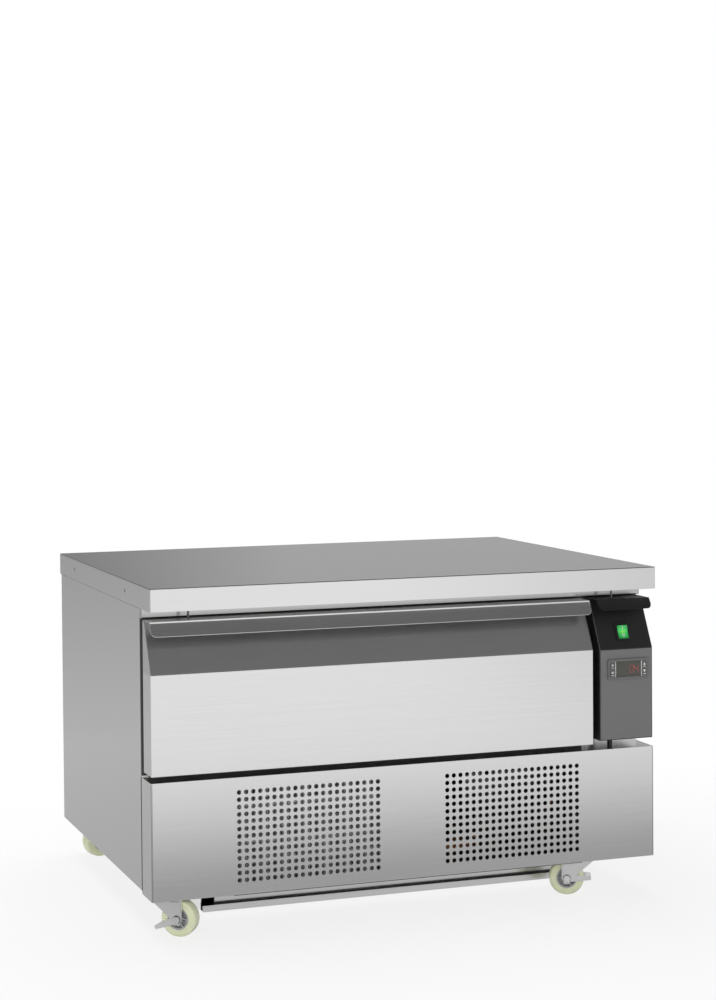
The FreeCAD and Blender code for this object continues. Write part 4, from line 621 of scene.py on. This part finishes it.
def addBeads(name, paths, closed, thick, finish, body):
    curve = bpy.data.curves.new(name, "CURVE")
    curve.dimensions = "3D"
    curve.bevel_depth = thick
    curve.bevel_resolution = beadSides
    curve.use_fill_caps = True
    for path in paths:
        line = curve.splines.new("POLY")
        line.points.add(len(path) - 1)
        line.use_cyclic_u = closed
        for point, place in zip(line.points, path):
            point.co = (*place, 1)
    drawn = bpy.data.objects.new(name, curve)
    scene.collection.objects.link(drawn)
    graph = bpy.context.evaluated_depsgraph_get()
    mesh = bpy.data.meshes.new_from_object(drawn.evaluated_get(graph), depsgraph=graph)
    bpy.data.objects.remove(drawn)
    mesh.materials.clear()
    mesh.materials.append(finish)
    bead = bpy.data.objects.new(name, mesh)
    scene.collection.objects.link(bead)
    rideOn(bead, body)


def rectangle(width, height, x=0.0, z=0.0):
    return [
        (x - width / 2, z - height / 2), (x + width / 2, z - height / 2),
        (x + width / 2, z + height / 2), (x - width / 2, z + height / 2),
    ]


def boxOf(node):
    return tuple(Vector(corner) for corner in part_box(node))


def rollerPlace(corner):
    # the wheel's own frame: Y along its axle
    joint = joints[corner + "_roll"]
    axis = Vector(joint["axis"])
    side = axis.cross(Vector((0, 0, 1)))
    turn = Matrix((side, axis, Vector((0, 0, 1)))).transposed().to_4x4()
    return Matrix.Translation(joint["pos_m"]) @ turn


# Geometry Nodes parts
def newTree(name, inputs):
    tree = bpy.data.node_groups.new(name, "GeometryNodeTree")
    tree.interface.new_socket(name="Geometry", in_out="OUTPUT", socket_type="NodeSocketGeometry")
    for label, kind in inputs:
        tree.interface.new_socket(name=label, in_out="INPUT", socket_type=kind)
    return tree, tree.nodes.new("NodeGroupInput"), tree.nodes.new("NodeGroupOutput")


def endTree(tree, spread, given, out):
    real = tree.nodes.new("GeometryNodeRealizeInstances")
    paint = tree.nodes.new("GeometryNodeSetMaterial")
    tree.links.new(spread.outputs["Instances"], real.inputs["Geometry"])
    tree.links.new(real.outputs["Geometry"], paint.inputs["Geometry"])
    tree.links.new(given.outputs["Finish"], paint.inputs["Material"])
    tree.links.new(paint.outputs["Geometry"], out.inputs["Geometry"])


def bakeTree(name, tree, source, inputs):
    piece = bpy.data.objects.new(name, source)
    scene.collection.objects.link(piece)
    modifier = piece.modifiers.new("shape", "NODES")
    modifier.node_group = tree
    for item in tree.interface.items_tree:
        if item.item_type == "SOCKET" and item.in_out == "INPUT" and item.name in inputs:
            modifier[item.identifier] = inputs[item.name]
    graph = bpy.context.evaluated_depsgraph_get()
    mesh = bpy.data.meshes.new_from_object(piece.evaluated_get(graph), depsgraph=graph)
    piece.modifiers.clear()
    piece.data = mesh
    return piece


# caster wheels: a crowned tread on a dished hub with ribs
wheel = {
    "radius": 0.030, "half": 0.012, "round": 0.005, "seat": 0.018, "steps": 64, "arcSteps": 6,
    "web": 0.004, "boss": 0.0085, "bossHalf": 0.0132, "bore": 0.00408, "rim": 0.0152, "draft": 0.0004,
    "ribs": 6, "ribThick": 0.0022, "ribHalf": 0.0105, "ribSink": 0.0008,
}


def ribTree():
    tree, given, out = newTree("hubRibs", (
        ("Count", "NodeSocketInt"), ("Radius", "NodeSocketFloat"),
        ("Rib Size", "NodeSocketVector"), ("Finish", "NodeSocketMaterial"),
    ))
    link = tree.links.new
    ring = tree.nodes.new("GeometryNodeMeshCircle")
    rib = tree.nodes.new("GeometryNodeMeshCube")
    where = tree.nodes.new("GeometryNodeInputPosition")
    turn = tree.nodes.new("FunctionNodeAlignRotationToVector")
    turn.axis = "X"
    spread = tree.nodes.new("GeometryNodeInstanceOnPoints")
    link(given.outputs["Count"], ring.inputs["Vertices"])
    link(given.outputs["Radius"], ring.inputs["Radius"])
    link(given.outputs["Rib Size"], rib.inputs["Size"])
    link(where.outputs[0], turn.inputs["Vector"])
    link(ring.outputs["Mesh"], spread.inputs["Points"])
    link(rib.outputs["Mesh"], spread.inputs["Instance"])
    link(turn.outputs[0], spread.inputs["Rotation"])
    endTree(tree, spread, given, out)
    return tree


def addWheels(values):
    half, web, bossHalf = values["half"], values["web"], values["bossHalf"]
    rim, boss, draft = values["rim"], values["boss"], values["draft"]
    arc = []
    for step in range(values["arcSteps"] + 1):
        angle = math.pi / 2 * step / values["arcSteps"]
        arc.append((
            values["radius"] - values["round"] * (1 - math.sin(angle)),
            half - values["round"] * (1 - math.cos(angle)),
        ))
    tread = [(values["seat"], -half)] + [(r, -y) for r, y in arc]
    tread += [(r, y) for r, y in reversed(arc)] + [(values["seat"], half)]
    side = [
        (values["seat"], half), (rim, half), (rim - draft, web), (boss + draft, web),
        (boss, bossHalf), (values["bore"], bossHalf),
    ]
    hub = side + [(r, -y) for r, y in reversed(side)]
    ribs = ribTree()
    ribSize = (rim - boss + 2 * values["ribSink"], values["ribThick"], 2 * values["ribHalf"])
    for corner in corners:
        place, body = rollerPlace(corner), "roller_" + corner
        bm = bmesh.new()
        lathe(bm, tread, values["steps"], place)
        tyre = addPiece(corner + "_tread", bm, treadUrethane, body)
        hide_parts(corner + "_wheel")
        bm = bmesh.new()
        lathe(bm, hub, values["steps"], place)
        addPiece(corner + "_hub", bm, hubPlastic, body)
        ribbed = bakeTree(corner + "_ribs", ribs, bpy.data.meshes.new(corner + "_ribs"), {
            "Count": values["ribs"], "Radius": (rim + boss) / 2, "Rib Size": ribSize, "Finish": hubPlastic,
        })
        ribbed.data.transform(place @ Matrix.Rotation(math.pi / 2, 4, "X"))
        rideOn(ribbed, body)


addWheels(wheel)

# axle bolts: hex head and nut on washers
axle = {
    "shank": 0.004, "core": 0.0005, "headThick": 0.004, "headCorner": 0.0066, "headShort": 0.0003,
    "headSides": 6, "washer": 0.0070, "washerThick": 0.0008, "steps": 32,
}


def axleReach(corner):
    # middle of the wheel to the end of the axle
    axis, middle = Vector(joints[corner + "_roll"]["axis"]), Vector(joints[corner + "_roll"]["pos_m"])
    return max(abs((vert.co - middle).dot(axis)) for vert in nodes[corner + "_axle"].data.vertices)


def addAxles(values):
    shank, washer, thick = values["shank"], values["washer"], values["washerThick"]
    hexagon = []
    for step in range(values["headSides"]):
        angle = 2 * math.pi * step / values["headSides"]
        hexagon.append((values["headCorner"] * math.cos(angle), values["headCorner"] * math.sin(angle)))
    for corner in corners:
        place, reach = rollerPlace(corner), axleReach(corner)
        seat = reach - values["headThick"]
        body, washers, bm = "caster_" + corner, bmesh.new(), bmesh.new()
        ring = [(shank, seat), (washer, seat), (washer, seat + thick), (shank, seat + thick)]
        for turn in (0, math.pi):
            end = place @ Matrix.Rotation(turn, 4, "Z")
            lathe(washers, ring, values["steps"], end)
            prism(bm, hexagon, seat + thick, reach - values["headShort"], end)
        addPiece(corner + "_washers", washers, darkZinc, body)
        core = values["core"]
        lathe(bm, [(core, -seat), (shank, -seat), (shank, seat), (core, seat)], values["steps"], place)
        bolt = addPiece(corner + "_bolt", bm, zincPlate, body)
        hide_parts(corner + "_axle")


addAxles(axle)

# fork legs: a raised strap from the crown down to the axle
forkStrap = {
    "lead": -0.011, "trail": 0.007, "foot": 0.0085, "top": 0.030, "thick": 0.0024,
    "edge": 0.0009, "edgeSteps": 2, "edgeShape": 0.5,
}


def addForkStraps(values):
    wide, tall = values["trail"] - values["lead"], values["top"] - values["foot"]
    middle, height = (values["trail"] + values["lead"]) / 2, (values["top"] + values["foot"]) / 2
    for corner in corners:
        place, seat = rollerPlace(corner), axleReach(corner) - axle["headThick"]
        bm = bmesh.new()
        for side, turn in ((1, 0), (-1, math.pi)):
            end = place @ Matrix.Rotation(turn, 4, "Z")
            prism(bm, rectangle(wide, tall, side * middle, height), seat, seat + values["thick"], end)
        bmesh.ops.bevel(
            bm, geom=bm.edges[:], offset=values["edge"], segments=values["edgeSteps"],
            profile=values["edgeShape"], affect="EDGES",
        )
        addPiece(corner + "_straps", bm, forkZinc, "caster_" + corner)


addForkStraps(forkStrap)
print("caster wheels, axle bolts and fork straps made")

# screw recesses: a small black cross in every screw head of the worktop's sides, the back and the caster
# plates, painted shade of the hollow recess
recess = {
    "arm": 0.0034, "width": 0.0007, "lift": 0.00004,
    "boltTop": 0.1, "sideFoot": 0.53, "outerBand": 0.02,  # where the screws of each kind lie
}


def recessTree():
    tree, given, out = newTree("crossRecess", (
        ("Heads", "NodeSocketGeometry"), ("Arm", "NodeSocketVector"), ("Cross Arm", "NodeSocketVector"),
        ("Finish", "NodeSocketMaterial"),
    ))
    link = tree.links.new
    arm = tree.nodes.new("GeometryNodeMeshCube")
    crossArm = tree.nodes.new("GeometryNodeMeshCube")
    cross = tree.nodes.new("GeometryNodeJoinGeometry")
    facing = tree.nodes.new("GeometryNodeInputNamedAttribute")
    facing.data_type = "FLOAT_VECTOR"
    facing.inputs["Name"].default_value = "facing"
    turn = tree.nodes.new("FunctionNodeAlignRotationToVector")
    turn.axis = "Z"
    spread = tree.nodes.new("GeometryNodeInstanceOnPoints")
    link(given.outputs["Arm"], arm.inputs["Size"])
    link(given.outputs["Cross Arm"], crossArm.inputs["Size"])
    link(arm.outputs["Mesh"], cross.inputs["Geometry"])
    link(crossArm.outputs["Mesh"], cross.inputs["Geometry"])
    link(facing.outputs["Attribute"], turn.inputs["Vector"])
    link(given.outputs["Heads"], spread.inputs["Points"])
    link(cross.outputs["Geometry"], spread.inputs["Instance"])
    link(turn.outputs[0], spread.inputs["Rotation"])
    endTree(tree, spread, given, out)
    return tree


def screwHeads(values):
    # one point at the outer face of each screw, with the way that the head faces
    bm = bmesh.new()
    bm.from_mesh(nodes["cabinet_screws"].data)
    bmesh.ops.remove_doubles(bm, verts=bm.verts, dist=mergeGap)
    heads, seen = [], set()
    for vert in bm.verts:
        if vert in seen:
            continue
        island, queue = [], [vert]
        seen.add(vert)
        while queue:
            one = queue.pop()
            island.append(one.co.copy())
            for edge in one.link_edges:
                other = edge.other_vert(one)
                if other not in seen:
                    seen.add(other)
                    queue.append(other)
        low = Vector(min(point[axis] for point in island) for axis in range(3))
        high = Vector(max(point[axis] for point in island) for axis in range(3))
        middle = (low + high) / 2
        if high.z < values["boltTop"] and middle.y < cadBox[1][1] - values["outerBand"]:
            heads.append((Vector((middle.x, middle.y, low.z)), Vector((0, 0, -1))))
        elif abs(middle.x) > cadBox[1][0] - values["outerBand"] and high.z > values["sideFoot"]:
            side = math.copysign(1, middle.x)
            face = high.x if side > 0 else low.x
            heads.append((Vector((face, middle.y, middle.z)), Vector((side, 0, 0))))
        elif middle.y > 0:
            heads.append((Vector((middle.x, high.y, middle.z)), Vector((0, 1, 0))))
    bm.free()
    return heads


def addRecesses(values):
    heads = screwHeads(values)
    points = bpy.data.meshes.new("screw_recess_shade")
    points.from_pydata([place for place, facing in heads], [], [])
    facings = points.attributes.new("facing", "FLOAT_VECTOR", "POINT")
    for item, (place, facing) in zip(facings.data, heads):
        item.vector = facing
    arm, width, lift = values["arm"], values["width"], 2 * values["lift"]
    piece = bakeTree("screw_recess_shade", recessTree(), points, {
        "Arm": (arm, width, lift), "Cross Arm": (width, arm, lift), "Finish": blackPaintAndShade,
    })
    rideOn(piece, "cabinet")
    print("screw recesses:", len(heads))


addRecesses(recess)

# rolled edges of the handle strip: its outline, the brighter fold along its top and the slanted ends
handleLip = {
    "topY": -0.334, "footY": -0.347, "drop": 0.0235, "sheet": 0.0012, "round": 0.009, "arcSteps": 8,
    "inset": 0.0006, "bead": 0.0008, "fold": 0.0024, "foldProud": 0.0018, "endBead": 0.0006,
}


def addHandleBeads(values):
    low, high = boxOf("drawer_handle")
    side = values["sheet"] + values["inset"]
    left, right, turn = low.x + side, high.x - side, values["round"]
    top, foot = high.z - values["inset"], high.z - values["drop"] + values["inset"]
    outline = [(left, top)]
    for step in range(values["arcSteps"] + 1):
        angle = math.pi / 2 * step / values["arcSteps"]
        outline.append((left + turn * (1 - math.cos(angle)), foot + turn * (1 - math.sin(angle))))
    outline += [(left + right - x, z) for x, z in reversed(outline)]
    slope = (values["footY"] - values["topY"]) / values["drop"]
    lip = [(x, values["topY"] + slope * (high.z - z), z) for x, z in outline]
    addBeads("handle_bead", [lip], True, values["bead"], steelAcross, "drawer")
    bm = bmesh.new()
    fold = rectangle(right - left, values["fold"], (left + right) / 2, high.z - values["fold"] / 2)
    prism(bm, fold, values["topY"] - values["foldProud"], values["topY"], Matrix())
    addPiece("handle_fold", bm, steelAcross, "drawer")
    edge = values["endBead"]
    ends = [[(x, *slant["foot"]), (x, *slant["top"])] for x in (low.x + edge, high.x - edge)]
    addBeads("handle_ends", ends, False, edge, steelAcross, "drawer")


addHandleBeads(handleLip)

# control box: its front left edge, painted paler as a highlight
housingHighlight = {"bead": 0.0006}


def addHousingHighlight(values):
    low = boxOf("control_housing")[0]
    x = low.x + values["bead"]
    path = [(x, slant["foot"][0], low.z), (x, *slant["foot"]), (x, *slant["top"])]
    addBeads("housing_edge_highlight", [path], False, values["bead"], highlightPlastic, "cabinet")


addHousingHighlight(housingHighlight)

# grille panel: the round of the folds at its two front corners, in darker steel as painted shade
panelFold = {"bead": 0.0016, "proud": 0.0005}


def addPanelFolds(values):
    low, high = boxOf("lower_front_panel")
    sink = values["bead"] - values["proud"]
    paths = [
        [(x, low.y + sink, low.z + values["bead"]), (x, low.y + sink, high.z - values["bead"])]
        for x in (low.x + sink, high.x - sink)
    ]
    addBeads("panel_folds", paths, False, values["bead"], shadedSteel, "cabinet")


addPanelFolds(panelFold)

# painted shadow lines: dark strips where the side panels meet the worktop, where they meet the grille
# panel, and along the grille panel's foot
shadeLine = {
    "proud": 0.0006, "sink": 0.0004, "height": 0.0009, "seam": 0.0005,
    "footHeight": 0.0011, "footBack": 0.0006, "footDeep": 0.0012, "footHalf": 0.3115,
}


def addShadeLines(values):
    panelLow, panelHigh = boxOf("lower_front_panel")
    wide, tall = values["proud"] + values["sink"], values["height"]
    for side, name in ((-1, "left_side_panel"), (1, "right_side_panel")):
        low, high = boxOf(name)
        outer = high.x if side > 0 else low.x
        x = outer + side * (values["proud"] - values["sink"]) / 2
        bm = bmesh.new()
        prism(bm, rectangle(wide, tall, x, high.z - tall / 2), low.y, high.y, Matrix())
        upright = rectangle(wide, panelHigh.z - low.z, x, (panelHigh.z + low.z) / 2)
        prism(bm, upright, low.y - values["seam"] / 2, low.y + values["seam"] / 2, Matrix())
        addPiece(name + "_shade_line", bm, gasketRubberAndShade, "cabinet")
    foot, front = values["footHeight"], panelLow.y + values["footBack"]
    bm = bmesh.new()
    line = rectangle(2 * values["footHalf"], foot, 0, panelLow.z - foot / 2)
    prism(bm, line, front, front + values["footDeep"], Matrix())
    addPiece("panel_foot_shade_line", bm, gasketRubberAndShade, "cabinet")


addShadeLines(shadeLine)
print("handle beads, edges, folds and joint seals made")

# display: dark film above and below the window, digits and a rule at each side
display = {
    "filmWidth": 0.0478, "filmHeight": 0.0276, "filmLift": 0.0001,
    "digitHeight": 0.0125, "digitWidth": 0.0066, "bar": 0.0013, "gap": 0.0024, "barGap": 0.0004,
    "right": 0.0045, "lift": 0.00012, "number": "04",
    "ruleWidth": 0.0010, "ruleHeight": 0.0262, "ruleOut": 0.0249,
}
segments = {  # lit bars of each digit
    "0": "abcdef", "1": "bc", "2": "abged", "3": "abgcd", "4": "fgbc",
    "5": "afgcd", "6": "afgedc", "7": "abc", "8": "abcdefg", "9": "abcdfg",
}


def addDigits(values):
    low, high = boxOf("display_window")
    face, middle = low.y, (low.z + high.z) / 2
    wide, tall, half = values["digitWidth"], values["digitHeight"], values["bar"] / 2
    bars = {
        "a": (0, tall / 2, True), "g": (0, 0, True), "d": (0, -tall / 2, True),
        "f": (-wide / 2, tall / 4, False), "b": (wide / 2, tall / 4, False),
        "e": (-wide / 2, -tall / 4, False), "c": (wide / 2, -tall / 4, False),
    }
    bm = bmesh.new()
    left = high.x - values["right"] - 2 * wide - values["gap"]
    for digit in values["number"]:
        place = Matrix.Translation((left + wide / 2, face, middle))
        for name in segments[digit]:
            x, z, level = bars[name]
            reach = (wide if level else tall / 2) / 2 - values["barGap"]
            shape = [
                (-reach, 0), (half - reach, half), (reach - half, half),
                (reach, 0), (reach - half, -half), (half - reach, -half),
            ]
            outline = [(x + u, z + v) if level else (x + v, z + u) for u, v in shape]
            prism(bm, outline, -values["lift"], 0, place)
        left += wide + values["gap"]
    addPiece("display_digits", bm, digitRed, "cabinet")


def addDisplayFilm(values):
    low, high = boxOf("display_window")
    face = boxOf("controller_case")[0].y
    middle = (low + high) / 2
    place = Matrix.Translation((middle.x, face, middle.z))
    bm = bmesh.new()
    border = (values["filmHeight"] - (high.z - low.z)) / 2
    for side in (-1, 1):
        z = side * (values["filmHeight"] - border) / 2
        prism(bm, rectangle(values["filmWidth"], border, 0, z), -values["filmLift"], 0, place)
    addPiece("display_film", bm, displayDark, "cabinet")
    bm = bmesh.new()
    for side in (-1, 1):
        rule = rectangle(values["ruleWidth"], values["ruleHeight"], side * values["ruleOut"])
        prism(bm, rule, -values["lift"], 0, place)
    addPiece("display_rules", bm, markWhite, "cabinet")


addDigits(display)
addDisplayFilm(display)

# key marks: a triangle, a plus or a star over a short bar
keyMark = {
    "size": 0.0046, "line": 0.0010, "starTurns": (0, 60, 120), "lift": 0.00012, "layerStep": 0.00003,
    "raise": 0.0014, "barWidth": 0.0052, "barDrop": 0.0033,
}


def addKeyMarks(values):
    half, line = values["size"] / 2, values["line"]
    triangle = [(-half, -half), (half, -half), (0, half)]
    star = []
    bar = rectangle(values["size"], line)
    for turn in values["starTurns"]:
        cosine, sine = math.cos(math.radians(turn)), math.sin(math.radians(turn))
        star.append([(x * cosine - z * sine, x * sine + z * cosine) for x, z in bar])
    plus = [bar, rectangle(line, values["size"])]
    marks = {"up": [triangle], "down": [[(x, -z) for x, z in triangle]], "set": plus, "defrost": star}
    for key, outlines in marks.items():
        low, high = boxOf(key + "_key")
        place = Matrix.Translation(((low.x + high.x) / 2, low.y, (low.z + high.z) / 2))
        bm = bmesh.new()
        for layer, outline in enumerate(outlines):
            raised = [(x, z + values["raise"]) for x, z in outline]
            prism(bm, raised, -values["lift"] - layer * values["layerStep"], 0, place)
        prism(bm, rectangle(values["barWidth"], line, 0, -values["barDrop"]), -values["lift"], 0, place)
        addPiece(key + "_mark", bm, markWhite, "key_" + key)


addKeyMarks(keyMark)

# rocker marks: a bar and a ring, one on each half of the rocker
rockerMark = {
    "halfStep": 0.0064, "barWidth": 0.0012, "barHeight": 0.0052,
    "ringOut": 0.0028, "ringIn": 0.0018, "lift": 0.00012, "steps": 24, "start": 0.05,
}


def addRockerMarks(values):
    mesh = nodes["power_rocker"].data
    surface = BVHTree.FromPolygons(
        [vert.co for vert in mesh.vertices], [tuple(face.vertices) for face in mesh.polygons]
    )
    low, high = boxOf("power_rocker")
    foot, top = slant["foot"], slant["top"]
    slope = math.atan2(top[0] - foot[0], top[1] - foot[1])
    outward = Vector((0, -math.cos(slope), math.sin(slope)))
    upward = Vector((0, math.sin(slope), math.cos(slope)))
    bm = bmesh.new()
    for side in (1, -1):
        middle = (low + high) / 2 + side * values["halfStep"] * upward
        spot, normal = surface.ray_cast(middle + values["start"] * outward, -outward)[:2]
        inward = -normal
        across = Vector((1, 0, 0))
        turn = Matrix((across, inward, across.cross(inward))).transposed().to_4x4()
        place = Matrix.Translation(spot) @ turn
        if side > 0:
            prism(bm, rectangle(values["barWidth"], values["barHeight"]), -values["lift"], 0, place)
        else:
            ringOut, ringIn, lift = values["ringOut"], values["ringIn"], values["lift"]
            ring = [(ringIn, -lift), (ringOut, -lift), (ringOut, 0), (ringIn, 0)]
            lathe(bm, ring, values["steps"], place)
    addPiece("rocker_marks", bm, markWhite, "rocker")


addRockerMarks(rockerMark)
print("display, keys and rocker marked")

# compressor: a raised weld seam round the shell
seam = {
    "middle": (0.165, 0.020), "shell": 0.070, "foot": 0.091, "rise": 0.062,
    "half": 0.003, "crownHalf": 0.001, "proud": 0.0022, "steps": 64,
}


def addShellSeam(values):
    x, y = values["middle"]
    upright = Matrix.Rotation(math.pi / 2, 4, "X")
    place = Matrix.Translation((x, y, values["foot"] + values["rise"])) @ upright
    shell, half, crown, proud = values["shell"], values["half"], values["crownHalf"], values["proud"]
    profile = [
        (shell - proud, -half), (shell, -half), (shell + proud, -crown),
        (shell + proud, crown), (shell, half), (shell - proud, half),
    ]
    bm = bmesh.new()
    lathe(bm, profile, values["steps"], place)
    addPiece("compressor_seam", bm, blackPaintAndShade, "cabinet")


addShellSeam(seam)
print("compressor seam made")
